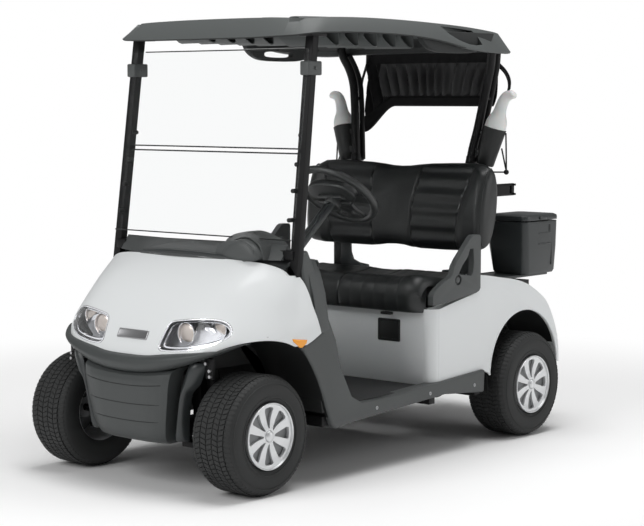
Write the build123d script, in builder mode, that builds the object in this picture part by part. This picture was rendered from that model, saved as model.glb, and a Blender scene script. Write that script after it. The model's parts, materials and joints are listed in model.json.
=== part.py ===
from build123d import *
import os
from math import cos, radians, sin

os.makedirs("parts", exist_ok=True)

# Two-seat electric golf cart. Millimetres, +Z up, the cart faces -Y, its left side is +X.
# The origin is on the ground, in the middle of the cart's length and width.

# ---------------------------------------------------------------- driving dimensions
FRONT_Y = -1200          # foremost point, on the bumper
REAR_Y = 1200            # rearmost point, on the rear bumper
FRONT_AXLE_Y = -948
WHEELBASE = 1676
FRONT_HALF_TRACK = 451
REAR_HALF_TRACK = 489
REAR_AXLE_Y = FRONT_AXLE_Y + WHEELBASE

TYRE_RADIUS = 229
TYRE_WIDTH = 206
TYRE_WALL = 14
TYRE_SHOULDER = 34
RIM_RADIUS = 124
RIM_WALL = 5
RIM_SPOKES = 8
HUB_RADIUS = 42
STUB_RADIUS = 15
RUNNING_GAP = 0.3        # between a shaft and its bore
SEAT_GAP = 0.5           # between panels that lie on each other

RAIL_X = 200
RAIL_WIDTH = 45
RAIL_HEIGHT = 70
RAIL_BOTTOM = 205
RAIL_TOP = RAIL_BOTTOM + RAIL_HEIGHT
REAR_RAIL_RISE = 130

KINGPIN_X = 400
KINGPIN_RADIUS = 12
ARM_TIP_IN = 80          # steering arm's eye, inboard of the kingpin
ARM_TIP_BACK = 105       # and behind it

FLOOR_THICKNESS = 15
FLOOR_TOP = RAIL_TOP + FLOOR_THICKNESS
MAT_THICKNESS = 6
SILL_OUT = 588           # half the body's width over the sills
SILL_WIDTH = 43
SILL_IN = SILL_OUT - SILL_WIDTH
PANEL = 5                # moulded body panel

ROOF_HALF_WIDTH = 545
ROOF_FRONT_Y = -725
ROOF_REAR_Y = 745
ROOF_TOP = 1800

COLUMN_TILT = 40         # steering column above the horizontal, degrees
WHEEL_CENTRE = (237, -189, 1088)
WHEEL_OUTER = 184


def keep(piece, name):
    """Label a finished piece and write its STEP file."""
    piece.part.label = name
    export_step(piece.part, f"parts/{name}.step")


def box(x0, x1, y0, y1, z0, z1, mode=Mode.ADD):
    """A block between two corners, added to the part that is being built."""
    centre = ((x0 + x1) / 2, (y0 + y1) / 2, (z0 + z1) / 2)
    with Locations(centre):
        Box(abs(x1 - x0), abs(y1 - y0), abs(z1 - z0), mode=mode)


def rod(start, end, radius, mode=Mode.ADD):
    """A round bar from one point to another."""
    a = Vector(*start)
    b = Vector(*end)
    with BuildSketch(Plane(origin=a, z_dir=b - a)) as section:
        Circle(radius)
    extrude(section.sketch, amount=(b - a).length, mode=mode)


def side_prism(points, x0, x1, mode=Mode.ADD):
    """A block with the outline (y, z) seen from the side, between two values of x."""
    with BuildSketch(Plane(origin=(x0, 0, 0), x_dir=(0, 1, 0), z_dir=(1, 0, 0))) as outline:
        with BuildLine():
            Polyline(*points, close=True)
        make_face()
    extrude(outline.sketch, amount=x1 - x0, mode=mode)


def cope(*others):
    """Trim the part that is being built to the faces of its neighbours."""
    for other in others:
        add(other.part, mode=Mode.SUBTRACT)


# ---------------------------------------------------------------- chassis
RAIL_FRONT_Y = -1040
RAIL_REAR_Y = 1120
KICK_START_Y = 400
KICK_END_Y = 520
CROSS_SIZE = 40
REAR_RAIL_BOTTOM = RAIL_BOTTOM + REAR_RAIL_RISE
TOWER_TOP = 540
HORN_SETBACK = 70        # the horns' front ends behind the bumper's foremost point
# y of the cross member, half length, bottom
CROSS_MEMBERS = [
    (-1020, RAIL_X, RAIL_BOTTOM + 15),
    (-620, SILL_IN - 5, RAIL_BOTTOM + 15),
    (60, SILL_IN - 5, RAIL_BOTTOM + 15),
    (380, SILL_IN - 5, RAIL_BOTTOM + 15),
    (1090, RAIL_X, REAR_RAIL_BOTTOM + 15),
]
rail_outline = [
    (RAIL_FRONT_Y, RAIL_BOTTOM),
    (KICK_START_Y, RAIL_BOTTOM),
    (KICK_END_Y, REAR_RAIL_BOTTOM),
    (RAIL_REAR_Y, REAR_RAIL_BOTTOM),
    (RAIL_REAR_Y, REAR_RAIL_BOTTOM + RAIL_HEIGHT),
    (KICK_END_Y - 20, REAR_RAIL_BOTTOM + RAIL_HEIGHT),
    (KICK_START_Y - 20, RAIL_TOP),
    (RAIL_FRONT_Y, RAIL_TOP),
]
with BuildPart() as chassis_frame:
    for side in (-1, 1):
        side_prism(rail_outline, side * RAIL_X - RAIL_WIDTH / 2, side * RAIL_X + RAIL_WIDTH / 2)
        box(side * RAIL_X - 20, side * RAIL_X + 20, FRONT_AXLE_Y - 30, FRONT_AXLE_Y + 30, RAIL_TOP, TOWER_TOP)
    for y, half, bottom in CROSS_MEMBERS:
        box(-half, half, y - CROSS_SIZE / 2, y + CROSS_SIZE / 2, bottom, bottom + CROSS_SIZE)
    box(-RAIL_X, RAIL_X, FRONT_AXLE_Y - 20, FRONT_AXLE_Y + 20, TOWER_TOP - 40, TOWER_TOP)
    # bumper horns
    for side in (-1, 1):
        box(side * RAIL_X - 15, side * RAIL_X + 15, FRONT_Y + HORN_SETBACK, FRONT_AXLE_Y - 30, 440, 480)
keep(chassis_frame, "chassis_frame")

ARM_BOTTOM = 160
ARM_TOP = 180
SHOCK_RADIUS = 26
SHOCK_TOP_X = RAIL_X + 20 + SHOCK_RADIUS
with BuildPart() as front_suspension:
    for side in (-1, 1):
        with BuildSketch(Plane.XY.offset(ARM_BOTTOM)):
            with BuildLine():
                Polyline(
                    (side * (RAIL_X - 20), FRONT_AXLE_Y - 90),
                    (side * (RAIL_X + 30), FRONT_AXLE_Y - 90),
                    (side * (KINGPIN_X - 10), FRONT_AXLE_Y - 22),
                    (side * (KINGPIN_X - 10), FRONT_AXLE_Y + 22),
                    (side * (RAIL_X + 30), FRONT_AXLE_Y + 90),
                    (side * (RAIL_X - 20), FRONT_AXLE_Y + 90),
                    close=True,
                )
            make_face()
            with Locations((side * KINGPIN_X, FRONT_AXLE_Y)):
                Circle(24)
            with Locations((side * (RAIL_X + 40), FRONT_AXLE_Y)):
                Circle(34, mode=Mode.SUBTRACT)
        extrude(amount=ARM_TOP - ARM_BOTTOM)
        for y in (FRONT_AXLE_Y - 80, FRONT_AXLE_Y + 80):
            box(side * (RAIL_X - 15), side * (RAIL_X + 15), y - 10, y + 10, ARM_TOP, RAIL_BOTTOM)
        rod((side * KINGPIN_X, FRONT_AXLE_Y, ARM_TOP), (side * KINGPIN_X, FRONT_AXLE_Y, 300), KINGPIN_RADIUS)
        # damper from the arm to the tower
        foot = (side * 300, FRONT_AXLE_Y, ARM_TOP + 12)
        head = (side * SHOCK_TOP_X, FRONT_AXLE_Y, TOWER_TOP - 40)
        rod(foot, head, SHOCK_RADIUS)
        box(side * 285, side * 315, FRONT_AXLE_Y - 15, FRONT_AXLE_Y + 15, ARM_TOP, ARM_TOP + 30)
        box(side * (RAIL_X + 20), side * (SHOCK_TOP_X + 10), FRONT_AXLE_Y - 15, FRONT_AXLE_Y + 15,
            TOWER_TOP - 60, TOWER_TOP - 30)
keep(front_suspension, "front_suspension")

KNUCKLE_BOTTOM = ARM_TOP + 2
KNUCKLE_TOP = 290
ARM_Z = 262
ARM_DEPTH = 14
ARM_HALF = 12
STUB_END = 62            # stub axle's end, outboard of the tyre's middle
for side, word in ((1, "left"), (-1, "right")):
    with BuildPart() as knuckle:
        rod((side * KINGPIN_X, FRONT_AXLE_Y, KNUCKLE_BOTTOM), (side * KINGPIN_X, FRONT_AXLE_Y, KNUCKLE_TOP), 24)
        rod((side * KINGPIN_X, FRONT_AXLE_Y, TYRE_RADIUS),
            (side * (FRONT_HALF_TRACK + STUB_END), FRONT_AXLE_Y, TYRE_RADIUS), STUB_RADIUS)
        with BuildSketch(Plane.XY.offset(ARM_Z)):
            with BuildLine():
                Polyline(
                    (side * (KINGPIN_X + ARM_HALF), FRONT_AXLE_Y),
                    (side * (KINGPIN_X - ARM_HALF), FRONT_AXLE_Y - ARM_HALF),
                    (side * (KINGPIN_X - ARM_TIP_IN - ARM_HALF), FRONT_AXLE_Y + ARM_TIP_BACK - ARM_HALF),
                    (side * (KINGPIN_X - ARM_TIP_IN), FRONT_AXLE_Y + ARM_TIP_BACK + ARM_HALF),
                    close=True,
                )
            make_face()
            with Locations((side * (KINGPIN_X - ARM_TIP_IN), FRONT_AXLE_Y + ARM_TIP_BACK)):
                Circle(14)
        extrude(amount=ARM_DEPTH)
        rod((side * KINGPIN_X, FRONT_AXLE_Y, KNUCKLE_BOTTOM - 5), (side * KINGPIN_X, FRONT_AXLE_Y, KNUCKLE_TOP + 5),
            KINGPIN_RADIUS + RUNNING_GAP, mode=Mode.SUBTRACT)
    keep(knuckle, f"knuckle_{word}")

ROD_Z = ARM_Z + ARM_DEPTH + 2
ROD_RADIUS = 9
EYE_HEIGHT = 20
RACK_Y = FRONT_AXLE_Y + ARM_TIP_BACK
RACK_RADIUS = 12
with BuildPart() as tie_rods:
    rod((-(KINGPIN_X - ARM_TIP_IN), RACK_Y, ROD_Z + EYE_HEIGHT / 2),
        (KINGPIN_X - ARM_TIP_IN, RACK_Y, ROD_Z + EYE_HEIGHT / 2), ROD_RADIUS)
    for side in (-1, 1):
        eye = (side * (KINGPIN_X - ARM_TIP_IN), RACK_Y, ROD_Z)
        rod(eye, (eye[0], eye[1], ROD_Z + EYE_HEIGHT), RACK_RADIUS)
keep(tie_rods, "tie_rods")

HOUSING_HALF = 70
with BuildPart() as steering_rack:
    with BuildSketch(Plane(origin=(-HOUSING_HALF, RACK_Y, ROD_Z + EYE_HEIGHT / 2), z_dir=(1, 0, 0))):
        Circle(24)
        Circle(ROD_RADIUS + RUNNING_GAP, mode=Mode.SUBTRACT)
    extrude(amount=2 * HOUSING_HALF)
    # the bracket that bolts the housing to the rails
    with BuildSketch(Plane.XY.offset(RAIL_TOP)):
        with Locations((0, RACK_Y + 30)):
            Rectangle(2 * RAIL_X + RAIL_WIDTH, 24)
    extrude(amount=ROD_Z + EYE_HEIGHT / 2 - RAIL_TOP)
keep(steering_rack, "steering_rack")

# ---------------------------------------------------------------- rear axle
AXLE_TUBE = 30
DIFF_RADIUS = 115
DIFF_X0 = -70
DIFF_X1 = 70
MOTOR_RADIUS = 85
MOTOR_LENGTH = 210
DRUM_RADIUS = 80
with BuildPart() as rear_axle:
    rod((-395, REAR_AXLE_Y, TYRE_RADIUS), (395, REAR_AXLE_Y, TYRE_RADIUS), AXLE_TUBE)
    rod((DIFF_X0, REAR_AXLE_Y, TYRE_RADIUS), (DIFF_X1, REAR_AXLE_Y, TYRE_RADIUS), DIFF_RADIUS)
    rod((DIFF_X1, REAR_AXLE_Y, TYRE_RADIUS), (DIFF_X1 + MOTOR_LENGTH, REAR_AXLE_Y, TYRE_RADIUS), MOTOR_RADIUS)
    for side in (-1, 1):
        rod((side * 395, REAR_AXLE_Y, TYRE_RADIUS), (side * 420, REAR_AXLE_Y, TYRE_RADIUS), DRUM_RADIUS)
        rod((side * 420, REAR_AXLE_Y, TYRE_RADIUS),
            (side * (REAR_HALF_TRACK + STUB_END), REAR_AXLE_Y, TYRE_RADIUS), STUB_RADIUS)
keep(rear_axle, "rear_axle")

SPRING_X = 320
SPRING_WIDTH = 50
SPRING_THICKNESS = 18
SPRING_HALF = 215
SPRING_SAG = 50
SPRING_LOW = TYRE_RADIUS - AXLE_TUBE - SPRING_THICKNESS
with BuildPart() as rear_springs:
    for side in (-1, 1):
        x0 = side * SPRING_X - SPRING_WIDTH / 2
        with BuildSketch(Plane(origin=(x0, 0, 0), x_dir=(0, 1, 0), z_dir=(1, 0, 0))):
            with BuildLine():
                ThreePointArc((REAR_AXLE_Y - SPRING_HALF, SPRING_LOW + SPRING_SAG), (REAR_AXLE_Y, SPRING_LOW),
                              (REAR_AXLE_Y + SPRING_HALF, SPRING_LOW + SPRING_SAG))
                Line((REAR_AXLE_Y + SPRING_HALF, SPRING_LOW + SPRING_SAG),
                     (REAR_AXLE_Y + SPRING_HALF, SPRING_LOW + SPRING_SAG + SPRING_THICKNESS))
                ThreePointArc((REAR_AXLE_Y + SPRING_HALF, SPRING_LOW + SPRING_SAG + SPRING_THICKNESS),
                              (REAR_AXLE_Y, SPRING_LOW + SPRING_THICKNESS),
                              (REAR_AXLE_Y - SPRING_HALF, SPRING_LOW + SPRING_SAG + SPRING_THICKNESS))
                Line((REAR_AXLE_Y - SPRING_HALF, SPRING_LOW + SPRING_SAG + SPRING_THICKNESS),
                     (REAR_AXLE_Y - SPRING_HALF, SPRING_LOW + SPRING_SAG))
            make_face()
        extrude(amount=SPRING_WIDTH)
        # hangers to the rails
        for y in (REAR_AXLE_Y - SPRING_HALF + 12, REAR_AXLE_Y + SPRING_HALF - 12):
            box(side * (RAIL_X + RAIL_WIDTH / 2), side * (SPRING_X + 15), y - 12, y + 12,
                SPRING_LOW + SPRING_SAG + 8, REAR_RAIL_BOTTOM + 40)
keep(rear_springs, "rear_springs")

BATTERY_FRONT_Y = 95
BATTERY_REAR_Y = 355
BATTERY_TOP = 560
with BuildPart() as battery_pack:
    box(-170, 170, BATTERY_FRONT_Y, BATTERY_REAR_Y, FLOOR_TOP, BATTERY_TOP)
    fillet(battery_pack.edges().filter_by(Axis.Z), 12)
keep(battery_pack, "battery_pack")

# ---------------------------------------------------------------- floor and sills
FLOOR_FRONT_Y = -640
FLOOR_REAR_Y = KICK_START_Y - 22
TOE_TOP_Y = -690
TOE_TOP_Z = 520
SEAT_BASE_FRONT_Y = 58
with BuildPart() as floor_pan:
    side_prism(
        [
            (FLOOR_REAR_Y, RAIL_TOP),
            (FLOOR_FRONT_Y, RAIL_TOP),
            (TOE_TOP_Y, TOE_TOP_Z),
            (TOE_TOP_Y + FLOOR_THICKNESS, TOE_TOP_Z),
            (FLOOR_FRONT_Y + FLOOR_THICKNESS, FLOOR_TOP),
            (FLOOR_REAR_Y, FLOOR_TOP),
        ],
        -SILL_IN + SEAT_GAP,
        SILL_IN - SEAT_GAP,
    )
keep(floor_pan, "floor_pan")

with BuildPart() as floor_mat:
    box(-SILL_IN + 12, SILL_IN - 12, FLOOR_FRONT_Y + 30, SEAT_BASE_FRONT_Y - 6, FLOOR_TOP,
        FLOOR_TOP + MAT_THICKNESS)
    fillet(floor_mat.edges().filter_by(Axis.Z), 20)
keep(floor_mat, "floor_mat")

# sill: an L that climbs behind the front wheel; (y, z) seen from the side
sill_outline = [
    (-767, 530), (-686, 414), (-633, 291), (-590, 222), (-543, 213), (-205, 235), (131, 254), (404, 230),
    (404, 326), (58, 306), (-205, 302), (-501, 296), (-568, 400), (-640, 580), (-692, 594),
]
with BuildPart() as sill_left:
    side_prism(sill_outline, SILL_IN, SILL_OUT)
keep(sill_left, "sill_left")
with BuildPart() as sill_right:
    mirror(sill_left.part, about=Plane.YZ)
keep(sill_right, "sill_right")

# ---------------------------------------------------------------- front body
COWL_REAR_Y = -690
# z, front y on the centre line, corner x, corner y, side x, y where the side turns straight
COWL_SECTIONS = [
    (520, -1152, 300, -1132, 560, -930),
    (600, -1112, 300, -1092, 562, -900),
    (700, -1048, 290, -1030, 545, -850),
    (800, -950, 265, -935, 510, -800),
    (845, -902, 245, -882, 470, -775),
    (866, -880, 225, -860, 440, -765),
]


def cowl_solid(inset, drop):
    """The outer form of the cowl, or its inside when it is inset and dropped by the wall."""
    sections = []
    for z, front, corner_x, corner_y, side_x, side_y in COWL_SECTIONS:
        with BuildSketch(Plane.XY.offset(z - drop)) as section:
            with BuildLine():
                ThreePointArc((-corner_x, corner_y + inset), (0, front + inset), (corner_x, corner_y + inset))
                Line((corner_x, corner_y + inset), (side_x - inset, side_y + inset))
                Line((side_x - inset, side_y + inset), (side_x - inset, COWL_REAR_Y))
                Line((side_x - inset, COWL_REAR_Y), (-side_x + inset, COWL_REAR_Y))
                Line((-side_x + inset, COWL_REAR_Y), (-side_x + inset, side_y + inset))
                Line((-side_x + inset, side_y + inset), (-corner_x, corner_y + inset))
            make_face()
        sections.append(section.sketch)
    loft(sections, ruled=True)


# headlamp outline seen from the front: x, z
LAMP_OUTLINE = [(180, 552), (205, 628), (330, 652), (412, 622), (400, 590), (300, 556)]
LAMP_REAR_Y = -880
ARCH_Z = 328
ARCH_RADIUS = 264
ARCH_INNER_X = 300
COWL_ARCH_OUT = 700
with BuildPart() as cowl_inside:
    cowl_solid(PANEL, PANEL)
with BuildPart() as lamp_zone:
    for side in (-1, 1):
        with BuildSketch(Plane(origin=(0, LAMP_REAR_Y, 0), x_dir=(1, 0, 0), z_dir=(0, -1, 0))):
            with BuildLine():
                Polyline(*[(side * x, z) for x, z in LAMP_OUTLINE], close=True)
            make_face()
        extrude(amount=LAMP_REAR_Y - FRONT_Y)
with BuildPart() as cowl_outer:
    cowl_solid(0, 0)
with BuildPart() as cowl_shell:
    add(cowl_outer.part)
    add(cowl_inside.part, mode=Mode.SUBTRACT)
    for side in (-1, 1):
        rod((side * ARCH_INNER_X, FRONT_AXLE_Y, ARCH_Z), (side * COWL_ARCH_OUT, FRONT_AXLE_Y, ARCH_Z),
            ARCH_RADIUS, mode=Mode.SUBTRACT)
    cope(sill_left, sill_right)
with BuildPart() as headlamp_lenses:
    add(cowl_shell.part)
    add(lamp_zone.part, mode=Mode.INTERSECT)
with BuildPart() as front_cowl:
    add(cowl_shell.part)
    add(lamp_zone.part, mode=Mode.SUBTRACT)
keep(front_cowl, "front_cowl")

with BuildPart() as headlamps:
    for side in (-1, 1):
        rod((side * 265, -1120, 600), (side * 265, -975, 600), 34)
        rod((side * 345, -1100, 615), (side * 345, -960, 615), 26)
        box(side * 225, side * 375, -985, -965, 570, 640)
    add(cowl_inside.part, mode=Mode.INTERSECT)
    add(headlamp_lenses.part)
keep(headlamps, "headlamps")

# bumper: a roll that follows the nose, over a slotted centre panel with a wing at each side
ROLL_RADIUS = 980
ROLL_CENTRE_Y = FRONT_Y + ROLL_RADIUS
ROLL_ANGLE = 24
ROLL_BOTTOM = 440
ROLL_TOP = 520
ROLL_DEPTH = 60
APRON_Y = FRONT_Y + 35
APRON_DEPTH = 40
APRON_OUTLINE = [(-222, 450), (-200, 302), (-169, 186), (169, 186), (200, 302), (222, 450)]
GROOVE_Z = [410, 362, 312, 262]
WING_IN = 198
WING_OUT = 236
WING_BOTTOM = 205
with BuildPart() as front_bumper:
    with BuildSketch(Plane.YZ) as roll_section:
        with BuildLine():
            Polyline(
                (FRONT_Y + ROLL_DEPTH, ROLL_BOTTOM),
                (FRONT_Y + 18, ROLL_BOTTOM),
                (FRONT_Y, ROLL_BOTTOM + 22),
                (FRONT_Y, ROLL_TOP - 30),
                (FRONT_Y + 18, ROLL_TOP - 4),
                (FRONT_Y + ROLL_DEPTH, ROLL_TOP - 4),
                close=True,
            )
        make_face()
    revolve(axis=Axis((0, ROLL_CENTRE_Y, 0), (0, 0, 1)), revolution_arc=ROLL_ANGLE)
    mirror(about=Plane.YZ)
    with BuildSketch(Plane(origin=(0, APRON_Y + APRON_DEPTH, 0), x_dir=(1, 0, 0), z_dir=(0, -1, 0))):
        with BuildLine():
            Polyline(*APRON_OUTLINE, close=True)
        make_face()
    extrude(amount=APRON_DEPTH)
    for z in GROOVE_Z:
        box(-150, 150, APRON_Y, APRON_Y + 6, z - 4, z + 4, mode=Mode.SUBTRACT)
    for side in (-1, 1):
        box(side * WING_IN, side * WING_OUT, APRON_Y + 30, APRON_Y + 80, WING_BOTTOM, ROLL_BOTTOM + 10)
        box(side * 150, side * (WING_IN + 12), APRON_Y + 34, APRON_Y + APRON_DEPTH, WING_BOTTOM, ROLL_BOTTOM + 10)
    cope(chassis_frame)
keep(front_bumper, "front_bumper")

# liner between the front wheels and the footwell
LINER_X = 280
LINER_FRONT_Y = -935
LINER_TOP = 600
LINER_WALL = 4
with BuildPart() as inner_fenders:
    for side in (-1, 1):
        box(side * LINER_X, side * (LINER_X + LINER_WALL), LINER_FRONT_Y, TOE_TOP_Y - 1, TOE_TOP_Z, LINER_TOP)
        box(side * LINER_X, side * SILL_OUT, LINER_FRONT_Y, TOE_TOP_Y - 1, LINER_TOP - LINER_WALL, LINER_TOP)
    add(cowl_inside.part, mode=Mode.INTERSECT)
keep(inner_fenders, "inner_fenders")

# ---------------------------------------------------------------- roof
# side view of the roof: y, z along the top and then back along the skirt's lower edge
ROOF_OUTLINE = [
    (ROOF_FRONT_Y, 1742), (ROOF_FRONT_Y + 30, 1783), (-300, 1797), (0, ROOF_TOP), (300, 1790), (600, 1762),
    (ROOF_REAR_Y - 30, 1722), (ROOF_REAR_Y, 1690), (ROOF_REAR_Y, 1672), (480, 1668), (320, 1678), (80, 1702),
    (-182, 1728), (-462, 1728), (ROOF_FRONT_Y, 1718),
]
ROOF_HOLLOW = [
    (ROOF_FRONT_Y + 60, 1700), (ROOF_FRONT_Y + 60, 1745), (-300, 1760), (0, 1764), (300, 1750), (600, 1718),
    (ROOF_REAR_Y - 60, 1690), (ROOF_REAR_Y - 60, 1650),
]
# the roof seen from above, its left half: x, y
ROOF_PLAN = [
    (0, ROOF_FRONT_Y), (ROOF_HALF_WIDTH - 55, ROOF_FRONT_Y), (ROOF_HALF_WIDTH - 12, ROOF_FRONT_Y + 35),
    (ROOF_HALF_WIDTH, -400), (ROOF_HALF_WIDTH, 400), (ROOF_HALF_WIDTH - 30, 650), (ROOF_HALF_WIDTH - 85, ROOF_REAR_Y),
    (0, ROOF_REAR_Y),
]
FASCIA_LEAN = 50         # the side fascia's top is this far inboard of its foot
FASCIA_FOOT = 1700
CEILING_HALF = ROOF_HALF_WIDTH - 70
RIB_X = (-300, 0, 300)   # stiffening ribs under the ceiling
RIB_HALF = 12
RIB_REAR_Y = 330
RIB_FOOT = 1744
GRIP_IN = 462            # moulded grip inside each skirt
GRIP_OUT = 486
# the grip seen from the side, and the hand hole in it: y, z
GRIP_OUTLINE = [(60, 1760), (60, 1696), (200, 1652), (600, 1650), (622, 1715), (500, 1735)]
GRIP_HOLE = [(190, 1672), (375, 1668), (375, 1694), (215, 1698)]
with BuildPart() as roof:
    side_prism(ROOF_OUTLINE, -ROOF_HALF_WIDTH, ROOF_HALF_WIDTH)
    with BuildSketch(Plane.XY.offset(FASCIA_FOOT - 60)):
        with BuildLine():
            Polyline(*ROOF_PLAN, close=True)
        make_face()
        mirror(about=Plane.YZ)
    extrude(amount=200, mode=Mode.INTERSECT)
    for side in (-1, 1):
        with BuildSketch(Plane(origin=(0, ROOF_REAR_Y, 0), x_dir=(1, 0, 0), z_dir=(0, -1, 0))):
            with BuildLine():
                Polyline(
                    (side * ROOF_HALF_WIDTH, FASCIA_FOOT), (side * (ROOF_HALF_WIDTH + 20), FASCIA_FOOT),
                    (side * (ROOF_HALF_WIDTH + 20), ROOF_TOP + 10),
                    (side * (ROOF_HALF_WIDTH - FASCIA_LEAN), ROOF_TOP + 10), close=True,
                )
            make_face()
        extrude(amount=ROOF_REAR_Y - ROOF_FRONT_Y, mode=Mode.SUBTRACT)
    side_prism(ROOF_HOLLOW, -CEILING_HALF, CEILING_HALF, mode=Mode.SUBTRACT)
    for x in RIB_X:
        box(x - RIB_HALF, x + RIB_HALF, ROOF_FRONT_Y + 40, RIB_REAR_Y, RIB_FOOT, ROOF_TOP - 30)
    # moulded grips inside the side skirts
    for side in (-1, 1):
        x0 = min(side * GRIP_IN, side * GRIP_OUT)
        side_prism(GRIP_OUTLINE, x0, x0 + GRIP_OUT - GRIP_IN)
        side_prism(GRIP_HOLE, x0, x0 + GRIP_OUT - GRIP_IN, mode=Mode.SUBTRACT)
keep(roof, "roof")

# ---------------------------------------------------------------- struts and screen
STRUT_TOP = (473, -616, 1735)
STRUT_FOOT = (488, -735, 790)
STRUT_WIDTH = 38
STRUT_DEPTH = 34


def bar(start, end, width, depth, mode=Mode.ADD):
    """A flat-sided bar, width along X, from one point to another."""
    a = Vector(*start)
    b = Vector(*end)
    with BuildSketch(Plane(origin=a, x_dir=(1, 0, 0), z_dir=b - a)) as section:
        Rectangle(width, depth)
    extrude(section.sketch, amount=(b - a).length, mode=mode)


with BuildPart() as front_struts:
    for side in (-1, 1):
        bar((side * STRUT_FOOT[0], *STRUT_FOOT[1:]), (side * STRUT_TOP[0], *STRUT_TOP[1:]), STRUT_WIDTH, STRUT_DEPTH)
    cope(cowl_outer, roof)
keep(front_struts, "front_struts")

SCREEN_THICKNESS = 5
SCREEN_HALF = 478
SCREEN_FORWARD = STRUT_DEPTH / 2 + SCREEN_THICKNESS / 2 + RUNNING_GAP
# bottom and top of each pane, above the ground
SCREEN_PANES = [(940, 1274), (1286, 1672)]
STRUT_LEAN = (STRUT_TOP[1] - STRUT_FOOT[1]) / (STRUT_TOP[2] - STRUT_FOOT[2])
with BuildPart() as windscreen:
    for bottom, top in SCREEN_PANES:
        y_bottom = STRUT_FOOT[1] + (bottom - STRUT_FOOT[2]) * STRUT_LEAN - SCREEN_FORWARD
        y_top = STRUT_FOOT[1] + (top - STRUT_FOOT[2]) * STRUT_LEAN - SCREEN_FORWARD
        bar((0, y_bottom, bottom), (0, y_top, top), 2 * SCREEN_HALF, SCREEN_THICKNESS)
keep(windscreen, "windscreen")

# ---------------------------------------------------------------- steering column
COLUMN_AXIS = (0, cos(radians(COLUMN_TILT)), sin(radians(COLUMN_TILT)))


def on_column(distance):
    """The point on the steering column this far below the steering wheel's centre."""
    return tuple(c - distance * a for c, a in zip(WHEEL_CENTRE, COLUMN_AXIS))


COLUMN_TOP = 60
COLUMN_LENGTH = 590
with BuildPart() as steering_column:
    rod(on_column(COLUMN_LENGTH), on_column(COLUMN_TOP), 22)
    rod(on_column(COLUMN_LENGTH), on_column(200), 38)
keep(steering_column, "steering_column")

# ---------------------------------------------------------------- dashboard
DASH_FRONT_Y = COWL_REAR_Y + SEAT_GAP
DASH_REAR_Y = -620
DASH_TOP = 925
DASH_WALL = 5
CUP_RADIUS = 34
CUP_DEPTH = 60
CUP_X = (-60, 60)
CUP_Y = -655
# z, front y on the centre line, corner x, corner y, side x, side y, as for the cowl
LEDGE_SECTIONS = [
    (866.5, -878, 225, -858, 440, -763),
    (922, -752, 200, -748, 440, -722),
]
POD_X = 268
POD_Z = 896
POD_FRONT_Y = -838
POD_HALF = 98
POD_RISE = 42
HUMP_OUTLINE = [(112, 900), (175, 940), (215, 960), (265, 962), (310, 945), (390, 900)]
# outline seen from the front: half width and z, from the top down
DASH_OUTLINE = [(0, 925), (300, 915), (440, 890), (485, 865), (515, 815), (540, 740), (556, 640), (560, 590)]
with BuildPart() as dashboard:
    with BuildSketch(Plane(origin=(0, DASH_REAR_Y, 0), x_dir=(1, 0, 0), z_dir=(0, -1, 0))) as dash_face:
        with BuildLine():
            Polyline(*DASH_OUTLINE, *[(-x, z) for x, z in reversed(DASH_OUTLINE)][:-1], close=True)
        make_face()
    extrude(amount=DASH_REAR_Y - DASH_FRONT_Y)
    # two open pockets and the well round the steering column
    for x0, x1 in ((-430, -60), (60, 130), (370, 470)):
        box(x0, x1, DASH_FRONT_Y + DASH_WALL, DASH_REAR_Y, 690, 830, mode=Mode.SUBTRACT)
    box(-480, 480, DASH_FRONT_Y + DASH_WALL, DASH_REAR_Y, 580, 660, mode=Mode.SUBTRACT)
    # ledge from the cowl's top edge up to the windscreen
    ledge = []
    for z, front, corner_x, corner_y, side_x, side_y in LEDGE_SECTIONS:
        with BuildSketch(Plane.XY.offset(z)) as section:
            with BuildLine():
                ThreePointArc((-corner_x, corner_y), (0, front), (corner_x, corner_y))
                Polyline((corner_x, corner_y), (side_x, side_y), (side_x, DASH_FRONT_Y), (-side_x, DASH_FRONT_Y),
                         (-side_x, side_y), (-corner_x, corner_y))
            make_face()
        ledge.append(section.sketch)
    loft(ledge, ruled=True)
    # pod in front of the steering column, and the hump over the instruments behind the windscreen
    with BuildSketch(Plane(origin=(POD_X, POD_FRONT_Y, POD_Z), x_dir=(1, 0, 0), z_dir=(0, -1, 0))):
        Ellipse(POD_HALF, POD_RISE)
    extrude(amount=POD_FRONT_Y - DASH_FRONT_Y)
    with BuildSketch(Plane(origin=(0, DASH_FRONT_Y - 30, 0), x_dir=(1, 0, 0), z_dir=(0, -1, 0))):
        with BuildLine():
            Polyline(*HUMP_OUTLINE, close=True)
        make_face()
    extrude(amount=-50)
    # cup holders
    for x in CUP_X:
        rod((x, CUP_Y, DASH_TOP - CUP_DEPTH), (x, CUP_Y, DASH_TOP), CUP_RADIUS, mode=Mode.SUBTRACT)
    cope(cowl_outer, sill_left, sill_right, windscreen, front_struts, steering_column)
keep(dashboard, "dashboard")

RIM_TUBE = 14
SPOKE_HALF = 16
WHEEL_HUB_RADIUS = 58
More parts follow.
